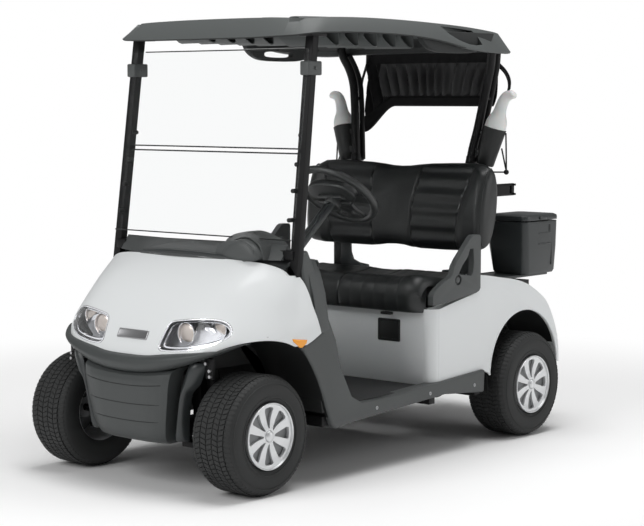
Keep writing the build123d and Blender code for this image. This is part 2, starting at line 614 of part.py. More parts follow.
# in the wheel's plane the second axis runs down towards the driver's lap
SPOKE_ANGLES = (12, 90, 168)
with BuildPart() as steering_wheel:
    wheel_plane = Plane(origin=WHEEL_CENTRE, x_dir=(1, 0, 0), z_dir=COLUMN_AXIS)
    with BuildSketch(Plane(origin=WHEEL_CENTRE, x_dir=(1, 0, 0), z_dir=wheel_plane.y_dir)):
        with Locations((WHEEL_OUTER - RIM_TUBE * cos(radians(22.5)), 0)):
            RegularPolygon(RIM_TUBE, 8, rotation=22.5)
    revolve(axis=Axis(WHEEL_CENTRE, COLUMN_AXIS))
    with BuildSketch(wheel_plane.offset(-12)):
        Circle(WHEEL_HUB_RADIUS)
        for angle in SPOKE_ANGLES:
            with PolarLocations(WHEEL_OUTER / 2 - 6, 1, start_angle=angle):
                Rectangle(WHEEL_OUTER - 26, 2 * SPOKE_HALF)
    extrude(amount=18)
    rod(on_column(COLUMN_TOP - 1), on_column(5), 26)
keep(steering_wheel, "steering_wheel")

with BuildPart() as pedals:
    for x, width in ((120, 110), (300, 70)):
        box(x - width / 2, x + width / 2, -640, -628, FLOOR_TOP + 60, FLOOR_TOP + 160)
        box(x - 10, x + 10, -650, -634, FLOOR_TOP + 60, FLOOR_TOP + 80)
    cope(floor_pan)
keep(pedals, "pedals")

# ---------------------------------------------------------------- rear body
BASE_FRONT_Y = SEAT_BASE_FRONT_Y
REAR_ARCH_Z = 298
REAR_ARCH_RADIUS = 258
# the body's side seen from the left: y, z
BODY_OUTLINE = [
    (BASE_FRONT_Y, 296.5), (BASE_FRONT_Y, 603), (350, 655), (352, 737), (514, 716), (665, 692), (783, 652),
    (903, 575), (960, 490), (988, 418), (1000, 290), (600, 290), (420, 322),
]
BODY_HALF = SILL_OUT - 16
RECESS_HALF = BODY_HALF - 49
RECESS_REAR_Y = 575
RECESS_FLOOR = 602
WELL_HALF = 280
WELL_FRONT_Y = 650
WELL_REAR_Y = 1150
WELL_FLOOR = 412
WELL_TOP = 640
with BuildPart() as rear_body:
    side_prism(BODY_OUTLINE, -BODY_HALF, BODY_HALF)
    side_prism(
        [
            (BASE_FRONT_Y + PANEL, 290), (BASE_FRONT_Y + PANEL, 560), (250, 590), (420, 640),
            (665, 640), (760, 610), (880, 530), (960, 400), (980, 280),
        ],
        -BODY_HALF + PANEL + 12, BODY_HALF - PANEL - 12, mode=Mode.SUBTRACT,
    )
    # the seat's recess, the hatch under it, and the bag well's opening
    box(-RECESS_HALF, RECESS_HALF, BASE_FRONT_Y - 1, RECESS_REAR_Y, RECESS_FLOOR, 800, mode=Mode.SUBTRACT)
    box(-440, 440, BASE_FRONT_Y + 60, 380, 500, 800, mode=Mode.SUBTRACT)
    box(-WELL_HALF - SEAT_GAP, WELL_HALF + SEAT_GAP, WELL_FRONT_Y - SEAT_GAP, 1100, 250, 800, mode=Mode.SUBTRACT)
    for side in (-1, 1):
        rod((side * 380, REAR_AXLE_Y, REAR_ARCH_Z), (side * 700, REAR_AXLE_Y, REAR_ARCH_Z), REAR_ARCH_RADIUS,
            mode=Mode.SUBTRACT)
    cope(sill_left, sill_right, floor_pan)
keep(rear_body, "rear_body")

REAR_STRUT_TOP = (431, 646, 1730)
REAR_STRUT_KNEE = (316, 618, 1213)
REAR_STRUT_FOOT = (300, 600, 700)
with BuildPart() as rear_struts:
    for side in (-1, 1):
        bar((side * REAR_STRUT_FOOT[0], *REAR_STRUT_FOOT[1:]), (side * REAR_STRUT_KNEE[0], *REAR_STRUT_KNEE[1:]), 38, 45)
        bar((side * REAR_STRUT_KNEE[0], *REAR_STRUT_KNEE[1:]), (side * REAR_STRUT_TOP[0], *REAR_STRUT_TOP[1:]), 38, 45)
        rod((side * REAR_STRUT_KNEE[0], REAR_STRUT_KNEE[1], 1196), (side * REAR_STRUT_KNEE[0], REAR_STRUT_KNEE[1], 1230), 24)
    cope(rear_body, roof)
keep(rear_struts, "rear_struts")

with BuildPart() as charge_port:
    box(262, 374, BASE_FRONT_Y - 6, BASE_FRONT_Y, 468, 558)
keep(charge_port, "charge_port")

DECK_HOLE_SPACING = 200
DECK_HOLE_RADIUS = 4.5
WELL_WALL = 8
with BuildPart() as bag_well:
    box(-WELL_HALF, WELL_HALF, WELL_FRONT_Y, WELL_REAR_Y, WELL_FLOOR, WELL_TOP)
    box(-WELL_HALF + WELL_WALL, WELL_HALF - WELL_WALL, WELL_FRONT_Y + WELL_WALL, WELL_REAR_Y - WELL_WALL,
        WELL_FLOOR + WELL_WALL, WELL_TOP, mode=Mode.SUBTRACT)
    with Locations((0, (WELL_FRONT_Y + WELL_REAR_Y) / 2, WELL_FLOOR + WELL_WALL)):
        with GridLocations(DECK_HOLE_SPACING, DECK_HOLE_SPACING, 2, 2):
            Hole(DECK_HOLE_RADIUS, depth=WELL_WALL)
keep(bag_well, "bag_well")

HITCH_RADIUS = 10
REAR_BUMPER_HALF = 360
with BuildPart() as rear_bumper:
    box(-REAR_BUMPER_HALF, REAR_BUMPER_HALF, REAR_Y - 50, REAR_Y, 340, 410)
    for side in (-1, 1):
        box(side * RAIL_X - 20, side * RAIL_X + 20, RAIL_REAR_Y, REAR_Y - 50, 345, 400)
    rod((0, REAR_Y - 25, 340), (0, REAR_Y - 25, 410), HITCH_RADIUS, mode=Mode.SUBTRACT)
keep(rear_bumper, "rear_bumper")

TAIL_LAMP_X = 430
TAIL_LAMP_RADIUS = 36
TAIL_LAMP_DEPTH = 14
# the lamps lie on the sloping rear face of the fenders
LAMP_FACE_TOP = Vector(0, 903, 575)
LAMP_FACE_FOOT = Vector(0, 960, 490)
with BuildPart() as tail_lamps:
    face_down = (LAMP_FACE_FOOT - LAMP_FACE_TOP).normalized()
    outward = Vector(1, 0, 0).cross(face_down)
    centre = (LAMP_FACE_TOP + LAMP_FACE_FOOT) * 0.5 + outward * RUNNING_GAP
    for side in (-1, 1):
        foot = centre + Vector(side * TAIL_LAMP_X, 0, 0)
        rod(foot, foot + outward * TAIL_LAMP_DEPTH, TAIL_LAMP_RADIUS)
keep(tail_lamps, "tail_lamps")

# ---------------------------------------------------------------- seats
SEAT_HALF = RECESS_HALF - 7
SEAT_REAR_Y = 470
SEAT_TOP = 725
with BuildPart() as seat_bottom:
    box(-SEAT_HALF, SEAT_HALF, 0, SEAT_REAR_Y, RECESS_FLOOR + RUNNING_GAP, SEAT_TOP)
    fillet(seat_bottom.edges().filter_by(Axis.Z), 20)
keep(seat_bottom, "seat_bottom")

SEAT_BACK_HALF = 500
with BuildPart() as seat_back:
    bar((0, 490, 815), (0, 547, 1192), 2 * SEAT_BACK_HALF, 90)
    fillet(seat_back.edges().filter_by(lambda e: e.length > 80 and e.length < 100), 30)
keep(seat_back, "seat_back")

BRACKET_IN = RECESS_HALF + 7
BRACKET_OUT = BODY_HALF - 16
# hip restraint seen from the left: y, z, and the opening in it
BRACKET_OUTLINE = [(60, 604), (349, 656), (352, 737.5), (390, 733.5), (384, 903), (329, 903), (196, 748), (62, 672)]
BRACKET_HOLE = [(299, 784), (331, 746), (334, 835), (311, 835)]
UPRIGHT_X = 360
UPRIGHT_HALF = 20
UPRIGHT_BACK_Y = 600
UPRIGHT_FRONT_Y = 578
UPRIGHT_REAR_Y = 589
with BuildPart() as seat_supports:
    for side in (-1, 1):
        x0 = min(side * BRACKET_IN, side * BRACKET_OUT)
        side_prism(BRACKET_OUTLINE, x0, x0 + BRACKET_OUT - BRACKET_IN)
        side_prism(BRACKET_HOLE, x0, x0 + BRACKET_OUT - BRACKET_IN, mode=Mode.SUBTRACT)
        box(side * (UPRIGHT_X - UPRIGHT_HALF), side * (UPRIGHT_X + UPRIGHT_HALF), UPRIGHT_FRONT_Y, UPRIGHT_BACK_Y,
            690, 1090)
    box(-UPRIGHT_X, UPRIGHT_X, UPRIGHT_FRONT_Y, UPRIGHT_REAR_Y, 1040, 1090)
    cope(rear_body, rear_struts)
keep(seat_supports, "seat_supports")

# ---------------------------------------------------------------- rear fittings
COOLER_X0 = 300
COOLER_X1 = 520
COOLER_Y0 = 766
COOLER_Y1 = 1031
COOLER_Z0 = 700
COOLER_Z1 = 905
COOLER_LID = 35
COOLER_WALL = 20
with BuildPart() as cooler_box:
    box(COOLER_X0, COOLER_X1, COOLER_Y0, COOLER_Y1, COOLER_Z0, COOLER_Z1)
    fillet(cooler_box.edges().filter_by(Axis.Z), 25)
    box(COOLER_X0 + COOLER_WALL, COOLER_X1 - COOLER_WALL, COOLER_Y0 + COOLER_WALL, COOLER_Y1 - COOLER_WALL,
        COOLER_Z0 + COOLER_WALL, COOLER_Z1, mode=Mode.SUBTRACT)
    # tray and bracket that carry it
    box(WELL_HALF + 10, COOLER_X1 - 40, 655, COOLER_Y1 - 30, COOLER_Z0 - 12, COOLER_Z0)
    box(WELL_HALF + 10, WELL_HALF + 40, 655, COOLER_Y1 - 30, 660, COOLER_Z0)
    cope(rear_body)
keep(cooler_box, "cooler_box")
with BuildPart() as cooler_lid:
    box(COOLER_X0, COOLER_X1, COOLER_Y0, COOLER_Y1, COOLER_Z1 + SEAT_GAP, COOLER_Z1 + COOLER_LID)
    fillet(cooler_lid.edges().filter_by(Axis.Z), 25)
keep(cooler_lid, "cooler_lid")

RACK_HALF = 282
RACK_FRONT_Y = 615
RACK_REAR_Y = 1010
RACK_CROSS_Y = 880
RACK_Z = 1065
RACK_TUBE = 14
RACK_BAR_HALF = 8
RACK_BAR_HEIGHT = 28
RACK_CLIP_OUT = 300
PAD_HALF_WIDTH = 18
PAD_HALF_LENGTH = 22
PAD_HALF_HEIGHT = 38
with BuildPart() as bag_rack:
    for side in (-1, 1):
        x = side * RACK_HALF
        box(x - RACK_BAR_HALF, x + RACK_BAR_HALF, RACK_FRONT_Y, RACK_REAR_Y, RACK_Z - RACK_BAR_HEIGHT,
            RACK_Z + RACK_BAR_HEIGHT)
        box(side * RACK_HALF, side * RACK_CLIP_OUT, RACK_FRONT_Y, RACK_FRONT_Y + 30, RACK_Z - RACK_BAR_HEIGHT,
            RACK_Z + RACK_BAR_HEIGHT)
        box(x - PAD_HALF_WIDTH, x + PAD_HALF_WIDTH, RACK_REAR_Y - PAD_HALF_LENGTH, RACK_REAR_Y + PAD_HALF_LENGTH,
            RACK_Z - PAD_HALF_HEIGHT, RACK_Z + PAD_HALF_HEIGHT)
    rod((-RACK_HALF, RACK_CROSS_Y, RACK_Z), (RACK_HALF, RACK_CROSS_Y, RACK_Z), RACK_TUBE)
    cope(rear_struts)
keep(bag_rack, "bag_rack")

BOTTLE_FOOT = (410, 636, 1190)
BOTTLE_TOP = (440, 653, 1352)
SPOUT_TOP = (468, 668, 1500)
with BuildPart() as bottle_holders:
    for side in (-1, 1):
        rod((side * BOTTLE_FOOT[0], *BOTTLE_FOOT[1:]), (side * BOTTLE_TOP[0], *BOTTLE_TOP[1:]), 44)
        rod((side * 325, 625, 1240), (side * (BOTTLE_FOOT[0] + 8), 642, 1240), 12)
    cope(rear_struts)
keep(bottle_holders, "bottle_holders")
with BuildPart() as sand_bottles:
    for side in (-1, 1):
        rod((side * BOTTLE_TOP[0], *BOTTLE_TOP[1:]), (side * SPOUT_TOP[0], *SPOUT_TOP[1:]), 30)
    cope(bottle_holders)
keep(sand_bottles, "sand_bottles")

COVER_HALF = 365
with BuildPart() as bag_cover:
    side_prism([(690, 1455), (760, 1460), (795, 1560), (775, 1660), (744, 1671.5), (690, 1670.8)], -COVER_HALF, COVER_HALF)
keep(bag_cover, "bag_cover")

# ---------------------------------------------------------------- wheels
HALF_TYRE = TYRE_WIDTH / 2
BEAD_INSIDE = 50         # from the tyre's middle to its beads' inner faces
RIM_FACE = HALF_TYRE + 4
# half sections of the tyre from its inboard bead to its outboard one: along the axle, distance from it
WALL_FOOT = RIM_RADIUS + TYRE_WALL
INSIDE_RADIUS = TYRE_RADIUS - TYRE_WALL
TYRE_OUTER = [
    (-HALF_TYRE + 10, RIM_RADIUS), (-HALF_TYRE, RIM_RADIUS + 45), (-HALF_TYRE + TYRE_SHOULDER * 0.3, TYRE_RADIUS - 22),
    (-HALF_TYRE + TYRE_SHOULDER, TYRE_RADIUS), (HALF_TYRE - TYRE_SHOULDER, TYRE_RADIUS),
    (HALF_TYRE - TYRE_SHOULDER * 0.3, TYRE_RADIUS - 22), (HALF_TYRE, RIM_RADIUS + 45), (HALF_TYRE - 10, RIM_RADIUS),
]
TYRE_INNER = [
    (-BEAD_INSIDE, RIM_RADIUS), (-BEAD_INSIDE, WALL_FOOT), (-HALF_TYRE + TYRE_WALL + 4, WALL_FOOT + 20),
    (-HALF_TYRE + TYRE_WALL + 12, INSIDE_RADIUS), (HALF_TYRE - TYRE_WALL - 12, INSIDE_RADIUS),
    (HALF_TYRE - TYRE_WALL - 4, WALL_FOOT + 20), (BEAD_INSIDE, WALL_FOOT), (BEAD_INSIDE, RIM_RADIUS),
]
# position word, side, y of the axle, half track
WHEELS = [
    ("front_left", 1, FRONT_AXLE_Y, FRONT_HALF_TRACK),
    ("front_right", -1, FRONT_AXLE_Y, FRONT_HALF_TRACK),
    ("rear_left", 1, REAR_AXLE_Y, REAR_HALF_TRACK),
    ("rear_right", -1, REAR_AXLE_Y, REAR_HALF_TRACK),
]
for place, side, axle_y, half_track in WHEELS:
    # local frame: x runs outboard along the axle, y up from it
    middle = Vector(side * half_track, axle_y, TYRE_RADIUS)
    section_plane = Plane(origin=middle, x_dir=(side, 0, 0), z_dir=(0, -side, 0))
    axle = Axis(middle, (1, 0, 0))
    with BuildPart() as tyre:
        with BuildSketch(section_plane):
            with BuildLine():
                Polyline(*TYRE_OUTER, *reversed(TYRE_INNER), close=True)
            make_face()
        revolve(axis=axle)
    keep(tyre, f"tyre_{place}")
    with BuildPart() as rim:
        with BuildSketch(section_plane):
            with BuildLine():
                Polyline(
                    (-HALF_TYRE + 10, RIM_RADIUS), (RIM_FACE - 8, RIM_RADIUS), (RIM_FACE, RIM_RADIUS - 3),
                    (RIM_FACE, RIM_RADIUS - 12), (RIM_FACE - 14, RIM_RADIUS - 14), (RIM_FACE - 22, HUB_RADIUS),
                    (RIM_FACE - 8, HUB_RADIUS - 10), (RIM_FACE - 8, 0), (STUB_END + 4, 0),
                    (STUB_END + 4, STUB_RADIUS + RUNNING_GAP), (10, STUB_RADIUS + RUNNING_GAP), (10, HUB_RADIUS),
                    (RIM_FACE - 36, HUB_RADIUS), (RIM_FACE - 26, RIM_RADIUS - RIM_WALL - 10),
                    (RIM_FACE - 40, RIM_RADIUS - RIM_WALL), (-HALF_TYRE + 10, RIM_RADIUS - RIM_WALL),
                    close=True,
                )
            make_face()
        revolve(axis=axle)
        # windows between the spokes
        window_plane = Plane(origin=middle, x_dir=(0, 1, 0), z_dir=(side, 0, 0))
        with BuildSketch(window_plane.offset(RIM_FACE - 60)):
            with PolarLocations(78, RIM_SPOKES):
                SlotOverall(52, 26)
        extrude(amount=70, mode=Mode.SUBTRACT)
    keep(rim, f"rim_{place}")
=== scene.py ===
import json
import math
import bpy
from mathutils import Matrix, Vector

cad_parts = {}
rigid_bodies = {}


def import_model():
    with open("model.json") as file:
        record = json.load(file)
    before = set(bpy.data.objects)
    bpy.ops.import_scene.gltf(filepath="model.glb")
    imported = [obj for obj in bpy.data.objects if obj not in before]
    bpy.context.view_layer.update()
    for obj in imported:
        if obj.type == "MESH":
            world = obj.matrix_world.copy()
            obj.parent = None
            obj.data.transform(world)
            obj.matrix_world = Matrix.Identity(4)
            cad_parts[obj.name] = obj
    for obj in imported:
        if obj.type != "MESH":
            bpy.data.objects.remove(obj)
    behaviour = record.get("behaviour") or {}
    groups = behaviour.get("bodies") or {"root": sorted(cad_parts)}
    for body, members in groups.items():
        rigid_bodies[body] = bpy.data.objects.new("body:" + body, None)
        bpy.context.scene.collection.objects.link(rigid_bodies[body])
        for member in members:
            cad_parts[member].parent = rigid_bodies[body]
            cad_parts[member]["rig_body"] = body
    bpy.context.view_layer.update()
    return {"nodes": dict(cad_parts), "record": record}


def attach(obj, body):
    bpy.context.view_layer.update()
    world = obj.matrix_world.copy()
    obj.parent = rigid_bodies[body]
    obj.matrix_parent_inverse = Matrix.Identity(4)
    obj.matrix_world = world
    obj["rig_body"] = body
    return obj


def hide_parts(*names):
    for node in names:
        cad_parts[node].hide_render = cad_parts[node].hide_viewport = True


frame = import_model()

# The cart faces -Y, its left side is +X, and the ground is at Z = 0. Metres.
FRONT_AXLE_Y = -0.948
REAR_AXLE_Y = 0.728
FRONT_TRACK = 0.451
REAR_TRACK = 0.489
TYRE_RADIUS = 0.229
SIDES = ((-1, "right"), (1, "left"))


# ------------------------------------------------------------ workshop
def clear():
    """Leave edit mode and deselect everything."""
    if bpy.context.object and bpy.context.object.mode != "OBJECT":
        bpy.ops.object.mode_set(mode="OBJECT")
    bpy.ops.object.select_all(action="DESELECT")


def only(piece):
    """Select this piece alone and make it active."""
    clear()
    piece.select_set(True)
    bpy.context.view_layer.objects.active = piece
    return piece


def settle(piece):
    """Put the piece's place and turn into its mesh."""
    only(piece)
    bpy.ops.object.transform_apply(location=True, rotation=True, scale=True)
    return piece


def named(name):
    """Name the primitive just added and settle it."""
    piece = bpy.context.object
    piece.name = name
    piece.data.name = name
    return settle(piece)


def edit(piece):
    """Go into edit mode with everything selected."""
    only(piece)
    bpy.ops.object.mode_set(mode="EDIT")
    bpy.ops.mesh.select_mode(type="FACE")
    bpy.ops.mesh.select_all(action="SELECT")


def done():
    bpy.ops.object.mode_set(mode="OBJECT")


def outward(piece):
    """Turn every face outwards."""
    edit(piece)
    bpy.ops.mesh.normals_make_consistent(inside=False)
    done()
    return piece


def merge(piece, distance):
    """Merge the corners that lie closer together than this."""
    edit(piece)
    bpy.ops.mesh.remove_doubles(threshold=distance)
    done()
    return piece


def fill(piece, distance):
    """Merge the doubles, fill every opening and turn the faces outwards."""
    edit(piece)
    bpy.ops.mesh.remove_doubles(threshold=distance)
    bpy.ops.mesh.select_mode(type="EDGE")
    bpy.ops.mesh.select_all(action="DESELECT")
    bpy.ops.mesh.select_non_manifold()
    bpy.ops.mesh.fill_holes(sides=0)
    bpy.ops.mesh.select_all(action="SELECT")
    bpy.ops.mesh.normals_make_consistent(inside=False)
    done()
    return piece


def modify(piece, kind, **settings):
    """Add a modifier and apply it."""
    only(piece)
    modifier = piece.modifiers.new("step", kind)
    for key, value in settings.items():
        setattr(modifier, key, value)
    bpy.ops.object.modifier_apply(modifier=modifier.name)
    return piece


def bevel(piece, width, segments=2, angle=35):
    return modify(piece, "BEVEL", width=width, segments=segments, limit_method="ANGLE",
                  angle_limit=math.radians(angle), use_clamp_overlap=True, harden_normals=False)


def smooth(piece, angle=35):
    only(piece)
    bpy.ops.object.shade_smooth_by_angle(angle=math.radians(angle))
    return piece


def wall(piece, thickness, offset=-1):
    """Give a sheet its thickness, inwards by default."""
    return modify(piece, "SOLIDIFY", thickness=thickness, offset=offset, use_even_offset=True)


def cut(piece, tool, operation="DIFFERENCE"):
    """Cut one piece with another, which is used up."""
    modify(piece, "BOOLEAN", object=tool, operation=operation, solver="EXACT")
    bpy.data.objects.remove(tool)
    return piece


def join(name, pieces):
    clear()
    for piece in pieces:
        piece.select_set(True)
    bpy.context.view_layer.objects.active = pieces[0]
    bpy.ops.object.join()
    return named(name)


def copy(piece, name):
    clone = piece.copy()
    clone.data = piece.data.copy()
    clone.name = name
    clone.data.name = name
    bpy.context.scene.collection.objects.link(clone)
    return clone


def mirror(piece):
    """Move the piece to the other side of the cart as its mirror image."""
    piece.data.transform(Matrix.Scale(-1, 4, (1, 0, 0)))
    piece.data.flip_normals()


def block(name, low, high, width=0.0, segments=2):
    """A bevelled block between two corners."""
    centre = [(a + b) / 2 for a, b in zip(low, high)]
    clear()
    bpy.ops.mesh.primitive_cube_add(size=1, location=centre, scale=[abs(b - a) for a, b in zip(low, high)])
    piece = named(name)
    if width:
        bevel(piece, width, segments)
    return piece


def rod(name, start, end, radius, vertices=24):
    """A round bar between two points."""
    a = Vector(start)
    b = Vector(end)
    clear()
    bpy.ops.mesh.primitive_cone_add(
        vertices=vertices, radius1=radius, radius2=radius, depth=(b - a).length,
        location=(a + b) / 2, rotation=(b - a).to_track_quat("Z", "Y").to_euler())
    return named(name)


def ball(name, centre, radii, segments=32, rings=16):
    clear()
    bpy.ops.mesh.primitive_uv_sphere_add(segments=segments, ring_count=rings, radius=1, location=centre,
                                         scale=radii)
    return smooth(named(name), 60)


def pipe(name, points, radius, straight=False):
    """A tube along points, as a curve with a round bevel turned into a mesh."""
    clear()
    bpy.ops.curve.primitive_bezier_curve_add()
    piece = bpy.context.object
    piece.location = (0, 0, 0)
    line = piece.data
    line.splines.clear()
    spline = line.splines.new("BEZIER")
    spline.bezier_points.add(len(points) - 1)
    for knot, point in zip(spline.bezier_points, points):
        knot.co = point
        knot.handle_left_type = "VECTOR" if straight else "AUTO"
        knot.handle_right_type = "VECTOR" if straight else "AUTO"
    line.dimensions = "3D"
    line.resolution_u = 6
    line.bevel_depth = radius
    line.bevel_resolution = 3
    line.use_fill_caps = True
    only(piece)
    bpy.ops.object.convert(target="MESH")
    return smooth(named(name), 50)


def flow(points, steps=5, closed=False):
    """Points along a smooth curve through the given ones."""
    count = len(points)
    result = []
    for i in range(count if closed else count - 1):
        around = [(i + k) % count if closed else min(max(i + k, 0), count - 1) for k in (-1, 0, 1, 2)]
        p0, p1, p2, p3 = [Vector(points[j]) for j in around]
        for s in range(steps):
            t = s / steps
            result.append(0.5 * (2 * p1 + (p2 - p0) * t + (2 * p0 - 5 * p1 + 4 * p2 - p3) * t * t
                                 + (3 * p1 - p0 - 3 * p2 + p3) * t ** 3))
    if not closed:
        result.append(Vector(points[-1]))
    return result


def curve(points, steps=5, closed=False):
    """Pairs along a smooth curve through the given pairs."""
    return [(p[0], p[1]) for p in flow([(a, b, 0) for a, b in points], steps, closed)]


def full_width(half):
    """An outline right across the cart from its half, which starts on the middle line."""
    return [(-a, b) for a, b in reversed(half[1:])] + half


def plate(name, outline, axis, low, high, width=0.0, segments=2):
    """A plate with this outline, seen along an axis, from low to high on it."""
    order = {"x": lambda a, b, c: (c, a, b),
             "y": lambda a, b, c: (a, c, b),
             "z": lambda a, b, c: (a, b, c)}[axis]
    clear()
    bpy.ops.mesh.primitive_circle_add(vertices=len(outline), radius=1, fill_type="NGON")
    piece = named(name)
    for corner, point in zip(piece.data.vertices, outline):
        corner.co = order(point[0], point[1], low)
    edit(piece)
    bpy.ops.mesh.extrude_region_move(TRANSFORM_OT_translate={"value": order(0, 0, high - low)})
    done()
    outward(piece)
    if width:
        bevel(piece, width, segments)
    return piece


def skin(name, rows):
    """A surface through rows of points, each row as long as the first."""
    across = len(rows[0])
    down = len(rows)
    clear()
    bpy.ops.mesh.primitive_grid_add(x_subdivisions=across - 1, y_subdivisions=down - 1, size=1)
    piece = named(name)
    points = [p for row in rows for p in row]
    for corner, point in zip(piece.data.vertices, points):
        corner.co = point
    return piece


def fine(rows, across=4, down=4):
    """More rows and columns on the same smooth surface."""
    wide = [flow(row, across) for row in rows]
    columns = [flow([row[i] for row in wide], down) for i in range(len(wide[0]))]
    return [[column[j] for column in columns] for j in range(len(columns[0]))]


def both_sides(row):
    """A row that starts on the middle line, carried over to the other side."""
    return [Vector((-p[0], p[1], p[2])) for p in reversed(row[1:])] + [Vector(p) for p in row]


# ------------------------------------------------------------ finishes
def finish(name, colour, roughness, metallic=0.0, coat=0.0, grain=0.0, grain_scale=400.0, **extra):
    """A material with one colour and, where grain is given, a fine bump."""
    material = bpy.data.materials.new(name)
    material.use_nodes = True
    shader = material.node_tree.nodes["Principled BSDF"]
    shader.inputs["Base Color"].default_value = (*colour, 1)
    shader.inputs["Roughness"].default_value = roughness
    shader.inputs["Metallic"].default_value = metallic
    shader.inputs["Coat Weight"].default_value = coat
    shader.inputs["Coat Roughness"].default_value = 0.05
    for key, value in extra.items():
        shader.inputs[key.replace("_", " ")].default_value = value
    if grain:
        nodes = material.node_tree.nodes
        links = material.node_tree.links
        place = nodes.new("ShaderNodeTexCoord")
        noise = nodes.new("ShaderNodeTexNoise")
        noise.inputs["Scale"].default_value = grain_scale
        noise.inputs["Detail"].default_value = 3
        bump = nodes.new("ShaderNodeBump")
        bump.inputs["Strength"].default_value = grain
        bump.inputs["Distance"].default_value = 0.001
        links.new(place.outputs["Object"], noise.inputs["Vector"])
        links.new(noise.outputs["Fac"], bump.inputs["Height"])
        links.new(bump.outputs["Normal"], shader.inputs["Normal"])
    return material


WHITE = finish("silver_white_paint", (0.74, 0.76, 0.765), 0.36, coat=0.22)
GREY = finish("grey_trim_plastic", (0.066, 0.071, 0.071), 0.50, grain=0.25)
BUMPER = finish("bumper_plastic", (0.048, 0.053, 0.053), 0.46, grain=0.25)
BLACK = finish("black_plastic", (0.012, 0.013, 0.013), 0.5, grain=0.2, Specular_IOR_Level=0.4)
ROOF = finish("roof_plastic", (0.080, 0.087, 0.086), 0.55, grain=0.2, Specular_IOR_Level=0.4)
STEEL_BLACK = finish("black_powder_coat", (0.0065, 0.0065, 0.007), 0.46, Specular_IOR_Level=0.22)
CEILING = finish("roof_lining", (0.026, 0.028, 0.028), 0.6, Specular_IOR_Level=0.3)
STEEL = finish("bare_steel", (0.42, 0.42, 0.43), 0.35, metallic=1.0)
CHROME = finish("chrome", (0.86, 0.86, 0.88), 0.08, metallic=1.0)
RIM_SILVER = finish("wheel_silver", (0.74, 0.75, 0.76), 0.32, metallic=0.55, coat=0.5)
RIM_GREY = finish("wheel_grey", (0.20, 0.205, 0.21), 0.4, metallic=0.4)
TYRE = finish("tyre_rubber", (0.017, 0.018, 0.018), 0.66, grain=0.3, grain_scale=220)
VINYL = finish("seat_vinyl", (0.014, 0.016, 0.016), 0.40, grain=0.35, grain_scale=520)
BLACK_SATIN = finish("satin_black_plastic", (0.030, 0.034, 0.035), 0.35, grain=0.15)
CLOTH = finish("cover_cloth", (0.030, 0.030, 0.031), 0.62, grain=0.4, grain_scale=600)
# near-black cloth that paints the shade on the cover's band, hem and folded end
CLOTH_SHADE = finish("cloth_painted_shade", (0.0075, 0.0075, 0.008), 0.75, Specular_IOR_Level=0.2)
WHEEL = finish("steering_wheel_rubber", (0.030, 0.032, 0.032), 0.38, grain=0.12)
BOTTLE_WHITE = finish("bottle_plastic", (0.72, 0.74, 0.73), 0.35, Subsurface_Weight=0.15)
SCREEN = finish("clear_acrylic", (0.95, 0.96, 0.96), 0.02, Transmission_Weight=1.0, IOR=1.15)
LENS = finish("lamp_lens", (0.95, 0.96, 0.97), 0.02, Transmission_Weight=1.0, IOR=1.25)
AMBER = finish("amber_lens", (0.95, 0.36, 0.01), 0.25, coat=0.5)
RED = finish("red_lens", (0.45, 0.008, 0.010), 0.2, coat=0.6)
LAMP_DARK = finish("lamp_housing", (0.24, 0.24, 0.25), 0.28, metallic=0.8)
REFLECTOR = finish("lamp_reflector", (0.72, 0.72, 0.74), 0.16, metallic=1.0)
PINK = finish("side_lamp_glass", (0.72, 0.30, 0.58), 0.25)
PROJECTOR = finish("projector_glass", (0.60, 0.53, 0.48), 0.22, metallic=0.4)
BATTERY = finish("battery_case", (0.16, 0.17, 0.18), 0.5)
MAT = finish("rubber_mat", (0.022, 0.023, 0.024), 0.7, grain=0.3)
GAUGE = finish("gauge_face", (0.5, 0.52, 0.53), 0.4)


def fit(piece, body, material, slot, *replaced):
    """Give the piece its finish and let it ride on its body in place of the frame's plain nodes."""
    if material is not None:
        piece.data.materials.clear()
        piece.data.materials.append(material)
    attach(piece, body)
    if replaced:
        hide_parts(*replaced)
    return piece


def stand_in(side, node):
    """The node that a pair of pieces replaces, which the left one names."""
    return (node,) if side > 0 else ()


def dress(node, material, width=0.0, segments=2, name=None):
    """Show a frame node as it is, or a bevelled copy of it."""
    source = frame["nodes"][node]
    body = source["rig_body"]
    slot = next(s["material_slot"] for s in frame["record"]["subparts"] if s["node"] == node)
    piece = copy(source, name or node + "_dressed")
    piece.parent = None
    for key in [k for k in piece.keys() if k.startswith("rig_")]:
        del piece[key]
    edit(piece)
    bpy.ops.mesh.remove_doubles(threshold=0.00001)
    bpy.ops.mesh.dissolve_limited(angle_limit=math.radians(1))
    done()
    if width:
        bevel(piece, width, segments)
    smooth(piece)
    return fit(piece, body, material, slot, node)


# ------------------------------------------------------------ wheels
TREAD_BLOCKS = 72


def ring(name, section, steps=96):
    """Spin a section, given as (x along the axle, distance from it), right round the X axis."""
    clear()
    bpy.ops.mesh.primitive_circle_add(vertices=len(section), radius=1, fill_type="NOTHING")
    piece = named(name)
    for corner, (x, r) in zip(piece.data.vertices, section):
        corner.co = (x, 0, r)
    edit(piece)
    bpy.ops.mesh.select_mode(type="VERT")
    bpy.ops.mesh.select_all(action="SELECT")
    bpy.ops.mesh.spin(steps=steps, angle=2 * math.pi, center=(0, 0, 0), axis=(1, 0, 0), dupli=False)
    bpy.ops.mesh.select_all(action="SELECT")
    bpy.ops.mesh.remove_doubles(threshold=0.00002)
    bpy.ops.mesh.normals_make_consistent(inside=False)
    done()
    return piece


def round_copies(piece, name, count):
    """Copies of a piece turned about the X axis, joined."""
    pieces = [piece]
    for i in range(1, count):
        clone = copy(piece, name + "_step")
        clone.data.transform(Matrix.Rotation(2 * math.pi * i / count, 4, "X"))
        pieces.append(clone)
    return join(name, pieces)


